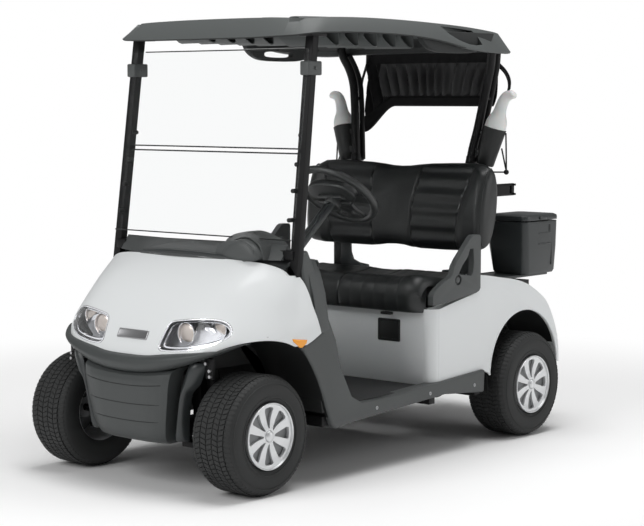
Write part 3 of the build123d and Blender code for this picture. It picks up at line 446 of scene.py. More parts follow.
# the tyre's casing: outboard is +x
tyre_section = curve([
    (-0.088, 0.1245), (-0.098, 0.140), (-0.1028, 0.168), (-0.1015, 0.192), (-0.094, 0.211),
    (-0.078, 0.2215), (-0.045, 0.2235), (0, 0.2238), (0.045, 0.2235), (0.078, 0.2215),
    (0.094, 0.211), (0.1015, 0.192), (0.1028, 0.168), (0.098, 0.140), (0.088, 0.1245),
], 3)
tyre_section += [(0.072, 0.1245), (0.074, 0.150), (0.070, 0.190), (0, 0.205), (-0.070, 0.190),
                 (-0.074, 0.150), (-0.072, 0.1245)]
casing = ring("tyre", tyre_section)
sidewall_rings = [ring("bead_ring", [(0.0995, 0.143), (0.1025, 0.145), (0.1028, 0.149), (0.1010, 0.151)]),
                  ring("shoulder_ring", [(0.1000, 0.196), (0.1024, 0.1972), (0.1018, 0.2000),
                                         (0.0985, 0.2010)])]
# one pitch of the tread: two zigzag centre ribs and a shoulder block each side
pitch = 2 * math.pi / TREAD_BLOCKS
blocks = []
for x0, x1, lean in ((-0.070, -0.046, 0.30), (-0.0425, -0.0165, -0.30), (-0.0130, 0.0130, 0.30),
                     (0.0165, 0.0425, -0.30), (0.046, 0.070, 0.30)):
    piece = block("tread_block", (x0, -0.0083, 0.2225), (x1, 0.0083, 0.2280))
    for corner in piece.data.vertices:
        corner.co.y += (corner.co.x - (x0 + x1) / 2) * lean
    blocks.append(bevel(piece, 0.0012, 1))
for side in (-1, 1):
    piece = block("shoulder_block", (side * 0.0735, -0.0070, 0.2150), (side * 0.0935, 0.0070, 0.2256))
    for corner in piece.data.vertices:
        if abs(corner.co.x) > 0.09:
            corner.co.z -= 0.011
    blocks.append(bevel(outward(piece), 0.0012, 1))
tread = round_copies(join("tread", blocks), "tread", TREAD_BLOCKS)
tyre_model = smooth(join("tyre", [casing, tread] + sidewall_rings), 40)

# the wheel: barrel, lip, dish with eight wedge windows, hub dome
rim_section = [
    (-0.090, 0.1235), (-0.078, 0.119), (0.080, 0.119), (0.094, 0.1195), (0.1035, 0.1215), (0.1060, 0.1245),
    (0.1045, 0.1265), (0.0995, 0.1262), (0.094, 0.1243), (-0.078, 0.1243),
]
barrel = bevel(ring("rim", rim_section), 0.0008, 1)
dish_section = [(0.098, 0.1215), (0.0965, 0.112), (0.0925, 0.095), (0.0905, 0.070), (0.0915, 0.045),
                (0.0955, 0.030), (0.0955, 0.022), (0.082, 0.022), (0.080, 0.070), (0.083, 0.112),
                (0.088, 0.1215)]
dish = ring("dish", dish_section)
WINDOW = [(0.030, 0.0030), (0.060, 0.0105), (0.085, 0.0185), (0.101, 0.0235), (0.1075, 0.0200),
          (0.110, 0.0)]
window_outline = WINDOW + [(r, -w) for r, w in reversed(WINDOW[:-1])]
windows = plate("windows", [(w, r) for r, w in window_outline], "x", 0.06, 0.12, 0.0)
windows = round_copies(bevel(windows, 0.0022, 2, 20), "windows", 8)
cut(dish, windows)
bevel(dish, 0.0011, 2, 30)
rim_inset = ring("rim_inset", [(0.0815, 0.1190), (0.0800, 0.070), (0.0820, 0.024), (0.0790, 0.024),
                               (0.0770, 0.070), (0.0785, 0.1190)])
hub = ring("hub", [(0.084, 0.0), (0.084, 0.0210), (0.095, 0.0215), (0.1005, 0.0198), (0.1045, 0.0150),
                   (0.1065, 0.0080), (0.1072, 0.0)], steps=48)
backing = ring("wheel_back", [(0.010, 0.0156), (0.010, 0.042), (0.060, 0.042), (0.078, 0.060),
                              (0.078, 0.0156)], steps=48)
for part in (barrel, dish, hub):
    part.data.materials.append(RIM_SILVER)
for part in (rim_inset, backing):
    part.data.materials.append(RIM_GREY)
rim_model = smooth(join("rim", [barrel, dish, hub, rim_inset, backing]), 38)

for place, side, axle_y, track in (
    ("front_left", 1, FRONT_AXLE_Y, FRONT_TRACK), ("front_right", -1, FRONT_AXLE_Y, FRONT_TRACK),
    ("rear_left", 1, REAR_AXLE_Y, REAR_TRACK), ("rear_right", -1, REAR_AXLE_Y, REAR_TRACK),
):
    turn = Matrix.Identity(4) if side > 0 else Matrix.Rotation(math.pi, 4, "Z")
    spot = Matrix.Translation((side * track, axle_y, TYRE_RADIUS)) @ turn
    tyre = copy(tyre_model, "road_tyre_" + place)
    tyre.data.transform(spot)
    fit(tyre, "wheel_" + place, TYRE, "tyre", "tyre_" + place)
    rim = copy(rim_model, "spoked_rim_" + place)
    rim.data.transform(spot)
    fit(rim, "wheel_" + place, None, "wheel_silver", "rim_" + place)
bpy.data.objects.remove(tyre_model)
bpy.data.objects.remove(rim_model)


# ------------------------------------------------------------ bonnet
# Rows of (x, y) at one height each, from the middle line out to the side and back.
BONNET_ROWS = ((0.500, ((0, -1.162), (0.150, -1.160), (0.300, -1.142), (0.400, -1.099), (0.480, -1.027),
                        (0.535, -0.948), (0.560, -0.870), (0.566, -0.765), (0.567, -0.665))),
               (0.520, ((0, -1.152), (0.150, -1.150), (0.300, -1.132), (0.400, -1.090), (0.480, -1.020),
                        (0.535, -0.940), (0.560, -0.860), (0.565, -0.760), (0.566, -0.665))),
               (0.570, ((0, -1.126), (0.150, -1.124), (0.300, -1.108), (0.400, -1.068), (0.480, -1.003),
                        (0.538, -0.920), (0.560, -0.830), (0.565, -0.740), (0.566, -0.660))),
               (0.620, ((0, -1.100), (0.150, -1.098), (0.300, -1.080), (0.400, -1.040), (0.478, -0.975),
                        (0.533, -0.890), (0.556, -0.810), (0.562, -0.735), (0.563, -0.668))),
               (0.680, ((0, -1.064), (0.150, -1.061), (0.290, -1.043), (0.385, -1.003), (0.460, -0.942),
                        (0.515, -0.865), (0.541, -0.795), (0.550, -0.745), (0.553, -0.694))),
               (0.740, ((0, -1.020), (0.150, -1.016), (0.280, -0.999), (0.370, -0.960), (0.440, -0.905),
                        (0.495, -0.845), (0.522, -0.788), (0.532, -0.750), (0.537, -0.710))),
               (0.790, ((0, -0.970), (0.150, -0.966), (0.270, -0.950), (0.355, -0.915), (0.420, -0.870),
                        (0.470, -0.822), (0.500, -0.780), (0.511, -0.755), (0.516, -0.722))),
               (0.830, ((0, -0.922), (0.140, -0.918), (0.255, -0.902), (0.335, -0.872), (0.400, -0.836),
                        (0.445, -0.802), (0.472, -0.776), (0.483, -0.762), (0.488, -0.745))),
               (0.858, ((0, -0.884), (0.140, -0.879), (0.250, -0.862), (0.325, -0.838), (0.385, -0.812),
                        (0.425, -0.790), (0.448, -0.774), (0.457, -0.768), (0.460, -0.764))),
               (0.880, ((0, -0.856), (0.140, -0.851), (0.246, -0.834), (0.318, -0.812), (0.374, -0.789),
                        (0.411, -0.770), (0.432, -0.757), (0.441, -0.752), (0.444, -0.749))))
bonnet_grid = fine([both_sides([(x, y, z) for x, y in row]) for z, row in BONNET_ROWS])
bonnet_skin = outward(skin("bonnet", bonnet_grid))

# everything above the top edge, below the lower edge and behind the rear edge comes off
TOP_EDGE = full_width(curve([(0, 0.870), (0.120, 0.870), (0.230, 0.867), (0.320, 0.863), (0.380, 0.857),
                             (0.420, 0.849), (0.452, 0.838), (0.472, 0.826), (0.486, 0.812)], 4))
LOWER_EDGE = full_width(curve([(0, 0.5125), (0.100, 0.5145), (0.187, 0.5245), (0.270, 0.5335),
                               (0.334, 0.5405), (0.395, 0.5475), (0.440, 0.5530), (0.650, 0.5530)], 4))
SIDE_EDGE = ((-0.784, 0.500), (-0.784, 0.544), (-0.722, 0.566), (-0.672, 0.590), (-0.686, 0.642),
             (-0.704, 0.699), (-0.715, 0.775), (-0.739, 0.824), (-0.768, 0.846), (-0.790, 0.900))
top_tool = plate("top_trim", [(-0.8, 0.780)] + TOP_EDGE + [(0.8, 0.780), (0.8, 1.1), (-0.8, 1.1)],
                 "y", -1.3, -0.6)
low_tool = plate("lower_trim", LOWER_EDGE + [(0.650, 0.4), (-0.650, 0.4)], "y", -1.3, -0.6)
rear_tool = plate("rear_trim", list(SIDE_EDGE) + [(-0.5, 0.900), (-0.5, 0.500)], "x", -0.8, 0.8)
FRONT_ARCH = (-0.945, 0.320)
WELL_RADIUS = 0.264
arch_tools = [rod("arch_trim", (side * 0.30, *FRONT_ARCH), (side * 0.75, *FRONT_ARCH), WELL_RADIUS, 128)
              for side in (-1, 1)]
LAMP_OUTLINE = curve([(0.150, 0.560), (0.153, 0.545), (0.166, 0.5365), (0.190, 0.5345), (0.228, 0.5365),
                      (0.275, 0.5415), (0.331, 0.552), (0.378, 0.566), (0.412, 0.583), (0.430, 0.600),
                      (0.431, 0.619), (0.418, 0.638), (0.398, 0.652), (0.368, 0.660), (0.320, 0.661),
                      (0.262, 0.657), (0.205, 0.650), (0.176, 0.643), (0.162, 0.628), (0.155, 0.595)],
                     steps=3, closed=True)
LAMP_MIDDLE = (0.292, 0.598)
LAMP_HALF = (0.13, 0.058)


def lamp_prism(side, grow=0.0):
    """The headlamp's outline as a block along the cart, grown or shrunk all round."""
    outline = []
    for x, z in LAMP_OUTLINE:
        away = Vector((x - LAMP_MIDDLE[0], z - LAMP_MIDDLE[1]))
        outline.append((side * (x + away.x * grow / LAMP_HALF[0]), z + away.y * grow / LAMP_HALF[1]))
    return plate("lamp_prism", outline, "y", -1.3, -0.85)


lamp_skin = copy(bonnet_skin, "lamp_skin")
bonnet = wall(bonnet_skin, 0.005)
for tool in (top_tool, low_tool, rear_tool, *arch_tools):
    cut(bonnet, tool)
for side in (-1, 1):
    cut(bonnet, lamp_prism(side))
bevel(bonnet, 0.0014, 2, 50)
smooth(bonnet, 30)
fit(bonnet, "root", WHITE, "body_white", "front_cowl")

# the amber marker's outline at the bonnet's tail corner: (y, z)
MARKER = ((-0.832, 0.583), (-0.828, 0.572), (-0.796, 0.547), (-0.784, 0.546), (-0.759, 0.560),
          (-0.755, 0.573))

# headlamps: a clear lens in the bonnet's own surface over a dark bowl with two projectors and chrome lines
for side, word in SIDES:
    lens_piece = copy(lamp_skin, "headlamp_lens_" + word)
    wall(lens_piece, 0.0025)
    lens_piece.data.transform(Matrix.Translation((0, -0.0005, 0)))
    cut(lens_piece, lamp_prism(side, -0.0015), "INTERSECT")
    smooth(lens_piece, 30)
    fit(lens_piece, "root", LENS, "lamp_lens", *stand_in(side, "headlamps"))
    bowl = copy(lamp_skin, "headlamp_bowl_" + word)
    bowl.data.transform(Matrix.Translation((0, 0.058, 0)))
    wall(bowl, 0.004)
    cut(bowl, lamp_prism(side, 0.002), "INTERSECT")
    sides = copy(lamp_skin, "headlamp_sides_" + word)
    sides.data.transform(Matrix.Translation((0, 0.007, 0)))
    wall(sides, 0.054)
    cut(sides, lamp_prism(side, 0.003), "INTERSECT")
    cut(sides, lamp_prism(side, -0.002))
    housing = smooth(join("headlamp_bowl_" + word, [bowl, sides]), 30)
    fit(housing, "root", LAMP_DARK, "lamp_lens")
    # two chrome lines that follow the lens's edge, one just inside the other
    for order, outer, inner, back, line_wall in (("outer", -0.0005, -0.005, 0.0005, 0.004),
                                                 ("inner", -0.010, -0.0145, 0.014, 0.006)):
        trim = copy(lamp_skin, f"headlamp_bezel_{order}_{word}")
        trim.data.transform(Matrix.Translation((0, back, 0)))
        wall(trim, line_wall)
        cut(trim, lamp_prism(side, outer), "INTERSECT")
        cut(trim, lamp_prism(side, inner))
        smooth(trim, 30)
        fit(trim, "root", CHROME, "lamp_lens")
    lamps = []
    # chrome reflector that fills the space between the two lights
    reflector = ball("reflector", (side * 0.298, -1.028, 0.592), (0.050, 0.012, 0.040), 48, 24)
    reflector.data.transform(Matrix.Translation((0, 0.012, 0)))
    reflector.data.materials.append(REFLECTOR)
    lamps.append(smooth(reflector, 60))
    for x, z, radius, depth in ((0.231, 0.598, 0.041, -1.066), (0.350, 0.618, 0.036, -1.012)):
        x = side * x
        rim_ring = rod("projector_ring", (x, depth, z), (x, depth + 0.030, z), radius + 0.0035, 48)
        cut(rim_ring, rod("projector_bore", (x, depth - 0.01, z), (x, depth + 0.022, z), radius, 48))
        bevel(rim_ring, 0.0015)
        smooth(rim_ring)
        rim_ring.data.materials.append(CHROME)
        glass = ball("projector", (x, depth + 0.014, z), (radius * 0.98, 0.014, radius * 0.98), 48, 24)
        glass.data.materials.append(PROJECTOR)
        lamps += [rim_ring, glass]
    glow = ball("side_lamp", (side * 0.362, -1.004, 0.617), (0.011, 0.006, 0.011), 24, 12)
    glow.data.materials.append(PINK)
    lamps.append(smooth(glow, 60))
    fit(smooth(join("headlamp_projectors_" + word, lamps), 40), "root", None, "lamp_lens")
    # amber marker at the bonnet's tail corner
    marker = copy(lamp_skin, "amber_marker_" + word)
    wall(marker, 0.006)
    marker.data.transform(Matrix.Translation((side * 0.0015, -0.001, 0)))
    cut(marker, plate("marker_prism", MARKER, "x", side * 0.4, side * 0.7), "INTERSECT")
    bevel(marker, 0.0012)
    smooth(marker, 30)
    fit(marker, "root", AMBER, "red_lens")
bpy.data.objects.remove(lamp_skin)

# the plain badge plate: a framed plate with nothing on it
BADGE_PLACE = (0, -1.1165, 0.583)
BADGE_TILT = -27
badge = block("badge_plate", (-0.082, -0.006, -0.019), (0.082, 0.006, 0.019), 0.004, 3)
cut(badge, block("badge_field", (-0.078, -0.012, -0.015), (0.078, -0.0045, 0.015), 0.002, 2))
smooth(badge)
badge.data.transform(Matrix.Rotation(math.radians(BADGE_TILT), 4, "X"))
badge.data.transform(Matrix.Translation(BADGE_PLACE))
fit(badge, "root", STEEL, "body_white")

# ------------------------------------------------------------ bumper, apron, wings and wheel liners
ROLL_PLAN = curve([(-0.484, -1.006), (-0.468, -1.030), (-0.438, -1.070), (-0.400, -1.106),
                  (-0.330, -1.146), (-0.200, -1.181), (0, -1.197), (0.200, -1.181), (0.330, -1.146),
                  (0.400, -1.106), (0.438, -1.070), (0.468, -1.030), (0.484, -1.006)], 6)

# distance from the middle line, height of the roll's top edge, height of its foot
ROLL_HEIGHTS = ((0, 0.5115, 0.4446), (0.100, 0.5135, 0.4475), (0.180, 0.5225, 0.4580),
                (0.230, 0.5285, 0.4720), (0.287, 0.5340, 0.4880), (0.330, 0.5395, 0.5040),
                (0.370, 0.5435, 0.5190), (0.400, 0.5470, 0.5310), (0.438, 0.5600, 0.5490),
                (0.468, 0.5720, 0.5660), (0.490, 0.5770, 0.5740))


def roll_edges(x):
    """The heights of the roll's top edge and foot at this distance from the middle line."""
    for (x0, top0, foot0), (x1, top1, foot1) in zip(ROLL_HEIGHTS, ROLL_HEIGHTS[1:]):
        if x <= x1:
            k = (x - x0) / (x1 - x0)
            return top0 + (top1 - top0) * k, foot0 + (foot1 - foot0) * k
    return ROLL_HEIGHTS[-1][1:]


def roll_row(down, depth):
    """One edge of the roll's section along its plan: how far down, 0 to 1, and how far behind."""
    row = []
    for x, y in ROLL_PLAN:
        top, foot = roll_edges(abs(x))
        shrink = min(1.0, 0.35 + (top - foot) / 0.075)
        back = Vector((x * -0.35, 1, 0)).normalized() * depth * shrink
        row.append(Vector((x + back.x, y + back.y, top + (foot - top) * down)))
    return row


roll_section = ((-0.02, 0.070), (0.0, 0.040), (0.03, 0.026), (0.12, 0.010), (0.30, 0.001), (0.50, 0.000),
                (0.72, 0.006), (0.90, 0.018), (0.99, 0.034), (1.0, 0.052), (0.98, 0.080))
roll = skin("bumper_roll", [roll_row(down, depth) for down, depth in roll_section])
wall(outward(roll), 0.004, -1)
smooth(bevel(roll, 0.001, 1, 50), 50)
fit(roll, "root", BUMPER, "trim_grey", "front_bumper")


def apron_row(z, half, front, corner, rise):
    """One level of the apron; its top levels rise towards the sides by this much."""
    points = []
    for k in (-1, -0.92, -0.8, -0.6, -0.3, 0, 0.3, 0.6, 0.8, 0.92, 1):
        points.append(Vector((half * k, front + (corner - front) * abs(k) ** 5, z + rise * k * k)))
    back_left = Vector((-half + 0.004, corner + 0.075, z + rise))
    back_right = Vector((half - 0.004, corner + 0.075, z + rise))
    return [back_left] + points + [back_right]


APRON_ROWS = ((0.452, 0.236, -1.140, -1.110, 0.022), (0.446, 0.236, -1.166, -1.136, 0.021),
              (0.436, 0.234, -1.180, -1.152, 0.018), (0.415, 0.229, -1.184, -1.157, 0.010),
              (0.396, 0.225, -1.184, -1.158, 0.004), (0.330, 0.214, -1.180, -1.154, 0),
              (0.260, 0.200, -1.172, -1.146, 0), (0.210, 0.187, -1.160, -1.134, 0),
              (0.187, 0.180, -1.145, -1.119, 0), (0.176, 0.172, -1.120, -1.096, 0),
              (0.174, 0.165, -1.080, -1.070, 0))
apron = skin("apron", [apron_row(*row) for row in APRON_ROWS])
edit(apron)
bpy.ops.mesh.subdivide(number_cuts=2, smoothness=0)
done()
wall(outward(apron), 0.005, -1)
smooth(bevel(apron, 0.0016, 2, 40), 40)
fit(apron, "root", BUMPER, "trim_grey")
# three creases across the apron
for mark, z, half, rise, front in (("a", 0.3975, 0.2245, 0.016, -1.1845),
                                   ("b", 0.3265, 0.2125, 0.010, -1.1802),
                                   ("c", 0.2600, 0.1990, 0.008, -1.1725)):
    course = []
    for k in (-0.985, -0.94, -0.88, -0.8, -0.7, -0.6, -0.45, -0.3, -0.15, 0, 0.15, 0.3, 0.45, 0.6, 0.7, 0.8,
              0.88):
        course.append((half * k, front + 0.0265 * abs(k) ** 5 + 0.0003, z + rise * k * k))
    crease = pipe("apron_line_" + mark, course, 0.0013)
    fit(crease, "root", BLACK, "trim_grey")

# the wheel liner: its line fore and aft (y, z), and how far out it reaches (y, x)
LINER_LINE = curve([(-1.085, 0.520), (-1.055, 0.556), (-1.020, 0.580), (-0.950, 0.596), (-0.860, 0.582),
                    (-0.767, 0.528), (-0.686, 0.414), (-0.633, 0.291), (-0.596, 0.222)], 4)
LINER_REACH = ((-1.120, 0.300), (-1.068, 0.392), (-1.003, 0.470), (-0.920, 0.530), (-0.830, 0.552),
               (-0.740, 0.556), (-0.590, 0.552))
LINER_INNER = 0.290

for side, word in SIDES:
    rows = []
    for z, x0, x1, y0, y1 in ((0.500, 0.305, 0.352, -1.100, -1.076), (0.478, 0.291, 0.352, -1.112, -1.084),
                              (0.420, 0.270, 0.326, -1.116, -1.086), (0.392, 0.260, 0.294, -1.116, -1.086),
                              (0.360, 0.250, 0.279, -1.116, -1.086), (0.280, 0.233, 0.264, -1.112, -1.082),
                              (0.215, 0.217, 0.260, -1.106, -1.080), (0.195, 0.213, 0.258, -1.098, -1.078)):
        rows.append([Vector((side * x, y, z)) for x, y in ((x0, y0), (x0 + (x1 - x0) * 0.35, y0 - 0.010),
                                                           (x0 + (x1 - x0) * 0.75, y0), (x1, y1))])
    wing = skin("bumper_wing_" + word, fine(rows, 3, 3))
    outward(wing)
    wall(wing, 0.007, 0)
    smooth(bevel(wing, 0.002, 2, 40), 40)
    fit(wing, "root", BLACK_SATIN, "trim_grey")
    # bracket with its bolts between the roll's end and the wheel
    bracket = block("bumper_bracket_" + word, (side * 0.352, -1.088, 0.442), (side * 0.392, -1.074, 0.520),
                    0.003, 2)
    foot = block("bracket_foot", (side * 0.300, -1.084, 0.470), (side * 0.360, -1.072, 0.500), 0.003, 2)
    bracket = join("bumper_bracket_" + word, [bracket, foot])
    fit(smooth(bracket), "root", STEEL_BLACK, "trim_grey")
    bolts = [rod("bracket_bolt", (side * x, -1.098, z), (side * x, -1.086, z), 0.0065, 6)
             for x, z in ((0.362, 0.500), (0.380, 0.474), (0.382, 0.453))]
    fit(smooth(join("bracket_bolts_" + word, bolts)), "root", STEEL, "trim_grey")
    # wheel liner, out to just inside the bonnet's side
    rows = []
    for k in (0.0, 0.25, 0.5, 0.75, 1.0):
        row = []
        for y, z in LINER_LINE:
            reach = next((x0 + (x1 - x0) * (y - y0) / (y1 - y0) for (y0, x0), (y1, x1)
                          in zip(LINER_REACH, LINER_REACH[1:]) if y <= y1), LINER_REACH[-1][1])
            row.append(Vector((side * (LINER_INNER + (reach - LINER_INNER) * k), y, z)))
        rows.append(row)
    liner = skin("wheel_liner_" + word, rows)
    outward(liner)
    wall(liner, 0.004, 0)
    smooth(liner, 40)
    fit(liner, "root", BLACK, "black_plastic", *stand_in(side, "inner_fenders"))
    inner = plate("wheel_well_side_" + word, LINER_LINE + [(-0.62, 0.30), (-0.70, 0.46), (-1.02, 0.46)],
                  "x", side * (LINER_INNER - 0.002), side * (LINER_INNER + 0.002))
    fit(smooth(inner), "root", BLACK, "black_plastic")

# ------------------------------------------------------------ dash
LEDGE_HALF = 0.452


def ledge_row(k, section):
    """The dash's cross-section at one place across the cart, k from -1 to 1."""
    edge = abs(k)
    return [Vector((LEDGE_HALF * k, y + 0.110 * edge ** 3, z - drop * edge ** 2.4))
            for y, z, drop in section]


# (y, z, how far it falls by the outer end)
# the strip in front of the ledge's foot is satin black to paint the shade in the gap under the ledge
LEDGE_SHADE_BAND = ((-0.846, 0.845, 0.050), (-0.856, 0.866, 0.050), (-0.857, 0.882, 0.050), (-0.852, 0.888, 0.050),
        (-0.845, 0.889, 0.050))
LEDGE = ((-0.842, 0.850, 0.050), (-0.849, 0.880, 0.050), (-0.847, 0.888, 0.050), (-0.842, 0.892, 0.050),
         (-0.810, 0.902, 0.048), (-0.780, 0.911, 0.044), (-0.758, 0.917, 0.040), (-0.750, 0.9185, 0.040),
         (-0.742, 0.917, 0.040), (-0.730, 0.906, 0.040), (-0.700, 0.898, 0.040), (-0.672, 0.896, 0.040),
         (-0.664, 0.885, 0.040), (-0.668, 0.850, 0.030))
ACROSS = (-1, -0.985, -0.95, -0.9, -0.8, -0.65, -0.5, -0.3, -0.15, 0, 0.15, 0.3, 0.5, 0.65, 0.8, 0.9, 0.95,
          0.985, 1)
# the grey ledge, and the satin black strip in front of its foot as painted shade
for piece_name, section, material in (("dash_ledge", LEDGE, GREY), ("dash_ledge_painted_shade", LEDGE_SHADE_BAND, BLACK_SATIN)):
    ledge = skin(piece_name, [ledge_row(k, section) for k in ACROSS])
    outward(ledge)
    wall(ledge, 0.004, -1)
    smooth(bevel(ledge, 0.001, 1, 60), 40)
    fit(ledge, "root", material, "trim_grey")

# instrument pod: a rounded nose that overhangs the bonnet's edge
POD_FACE = curve([(0.188, 0.878), (0.192, 0.896), (0.204, 0.912), (0.238, 0.929), (0.270, 0.941),
                 (0.293, 0.9455), (0.318, 0.9425), (0.344, 0.931), (0.366, 0.912), (0.380, 0.893),
                 (0.384, 0.878), (0.368, 0.866), (0.325, 0.858), (0.265, 0.853), (0.212, 0.858),
                 (0.193, 0.866)], 4, True)
POD_MIDDLE = (0.286, 0.893)
pod_rows = []
for y, size in ((-0.8460, 0.02), (-0.8455, 0.30), (-0.8435, 0.55), (-0.8395, 0.76), (-0.8330, 0.90),
                (-0.8240, 0.975), (-0.8120, 1.0), (-0.780, 1.015), (-0.720, 1.02), (-0.700, 1.02),
                (-0.699, 0.02)):
    pod_rows.append([Vector((POD_MIDDLE[0] + (x - POD_MIDDLE[0]) * size, y,
                             POD_MIDDLE[1] + (z - POD_MIDDLE[1]) * size))
                     for x, z in POD_FACE + POD_FACE[:1]])
pod = smooth(fill(skin("instrument_pod", pod_rows), 0.0001), 40)
fit(pod, "root", GREY, "trim_grey")

# brow that runs from just over the pod's face back to the hump over the instruments
BROW_FRONT = curve([(0.180, 0.868), (0.183, 0.896), (0.198, 0.919), (0.234, 0.937), (0.270, 0.949),
                   (0.294, 0.9530), (0.321, 0.9500), (0.350, 0.937), (0.374, 0.917), (0.392, 0.868)], 5)
BROW_REAR = curve([(0.100, 0.862), (0.101, 0.905), (0.118, 0.932), (0.150, 0.950), (0.188, 0.960),
                  (0.226, 0.9645), (0.270, 0.9585), (0.320, 0.943), (0.362, 0.920), (0.396, 0.862)], 5)
brow_rows = []
for y, share in ((-0.806, 0.0), (-0.795, 0.10), (-0.775, 0.34), (-0.750, 0.68), (-0.725, 0.93),
                 (-0.700, 1.0), (-0.640, 1.02)):
    brow_rows.append([Vector((a[0] + (b[0] - a[0]) * share, y, a[1] + (b[1] - a[1]) * share))
                      for a, b in zip(BROW_FRONT, BROW_REAR)])
brow = skin("dash_brow", brow_rows)
wall(outward(brow), 0.005, -1)
smooth(bevel(brow, 0.0015, 2, 50), 40)
fit(brow, "root", GREY, "trim_grey")
back = plate("dash_brow_back", BROW_REAR, "y", -0.646, -0.640)
fit(smooth(bevel(back, 0.002, 2, 40), 40), "root", GREY, "trim_grey")
vent = block("dash_vent", (0.384, -0.742, 0.876), (0.436, -0.736, 0.904), 0.004, 3)
fit(smooth(vent), "root", BLACK, "trim_grey")
gauge = block("speed_panel", (0.196, -0.6405, 0.900), (0.262, -0.6365, 0.945), 0.004, 2)
fit(smooth(gauge), "root", GAUGE, "trim_grey")

# the rest of the dash that faces the driver: cup pockets, switch plate, glove shelf
dash_body = dress("dashboard", GREY, 0.004, 2, "dash_body")
for corner in dash_body.data.vertices:
    if corner.co.z > 0.88 and corner.co.y > -0.70:
        corner.co.z -= 0.028

# ------------------------------------------------------------ steering wheel
WHEEL_CENTRE = Vector((0.237, -0.189, 1.088))
WHEEL_TILT = math.radians(40)
WHEEL_RADIUS = 0.1660
# the two holes of the middle spoke: how far out they lie, and how far to either side
HOLE_OUT = 0.112
HOLE_PLACES = (-0.034, 0.034)
wheel_parts = []
clear()
bpy.ops.mesh.primitive_torus_add(major_radius=WHEEL_RADIUS, minor_radius=0.0160, major_segments=96,
                                 minor_segments=20)
wheel_parts.append(smooth(named("wheel_grip"), 60))
# the wide pad, with a card holder's ledge across its back
PAD_OUTLINE = curve([(-0.118, -0.022), (-0.108, -0.062), (-0.070, -0.088), (0, -0.096), (0.070, -0.088),
                     (0.108, -0.062), (0.118, -0.022), (0.090, 0.018), (0.050, 0.044), (-0.050, 0.044),
                     (-0.090, 0.018)], 4, True)
pad = plate("wheel_pad", PAD_OUTLINE, "z", -0.026, 0.008)
wheel_parts.append(smooth(bevel(pad, 0.009, 4, 40), 40))
ledge_back = plate("wheel_ledge", ((-0.062, -0.034), (0.062, -0.034), (0.074, -0.018), (-0.074, -0.018)),
                   "z", -0.040, -0.024, 0.003, 2)
wheel_parts.append(smooth(ledge_back))
wheel_parts.append(smooth(plate("wheel_ledge_foot", ((-0.088, 0.006), (0.088, 0.006), (0.058, 0.024),
                                                     (-0.058, 0.024)), "z", -0.038, -0.024, 0.004, 2)))
boot = rod("wheel_boot", (0, 0, -0.062), (0, 0, -0.020), 0.034, 48)
wheel_parts.append(smooth(bevel(boot, 0.008, 3), 40))
for angle, start, half, far_half, holes in ((6, 0.085, 0.020, 0.026, False),
                                            (174, 0.085, 0.020, 0.026, False),
                                            (90, 0.030, 0.052, 0.078, True)):
    # a spoke from the pad to the grip, dished towards the driver at the rim
    a = math.radians(angle)
    outline = [(start, -half), (0.085, -half * 0.96), (0.130, -(half + far_half) / 2), (0.160, -far_half),
               (0.160, far_half), (0.130, (half + far_half) / 2), (0.085, half * 0.96), (start, half)]
    spoke = plate("wheel_spoke", outline, "z", -0.008, 0.005)
    if holes:
        for y in HOLE_PLACES:
            cut(spoke, rod("spoke_hole", (HOLE_OUT, y, -0.05), (HOLE_OUT, y, 0.05), 0.0205, 40))
    bevel(spoke, 0.0035, 2, 40)
    for corner in spoke.data.vertices:
        corner.co.z -= 0.012 * max(0.0, 1 - corner.co.x / 0.15)
    spoke.data.transform(Matrix.Rotation(a, 4, "Z"))
    wheel_parts.append(smooth(spoke))
    if holes:
        for y in HOLE_PLACES:
            clear()
            bpy.ops.mesh.primitive_torus_add(major_radius=0.0215, minor_radius=0.0030, major_segments=40,
                                             minor_segments=10)
            eyelet = smooth(named("spoke_eyelet"), 60)
            eyelet.data.transform(Matrix.Rotation(a, 4, "Z") @ Matrix.Translation((HOLE_OUT, y, -0.0045)))
            wheel_parts.append(eyelet)
steering_wheel = join("steering_wheel_dressed", wheel_parts)
steering_wheel.data.transform(Matrix.Translation(WHEEL_CENTRE) @ Matrix.Rotation(-WHEEL_TILT, 4, "X"))
fit(steering_wheel, "steering_wheel", WHEEL, "black_plastic", "steering_wheel")
# the column: two halves side by side, then the boot at its foot
column_way = Vector((0, math.cos(WHEEL_TILT), math.sin(WHEEL_TILT)))
halves = [rod("column_half", WHEEL_CENTRE - column_way * 0.560 + Vector((x, 0, 0)),
              WHEEL_CENTRE - column_way * 0.062 + Vector((x, 0, 0)), 0.0128, 32) for x in (-0.0115, 0.0115)]
boot = rod("column_boot", WHEEL_CENTRE - column_way * 0.588, WHEEL_CENTRE - column_way * 0.440, 0.036, 40)
bevel(boot, 0.012, 4)
column = smooth(join("steering_column_dressed", halves + [boot]), 40)
fit(column, "root", BLACK_SATIN, "black_plastic", "steering_column")

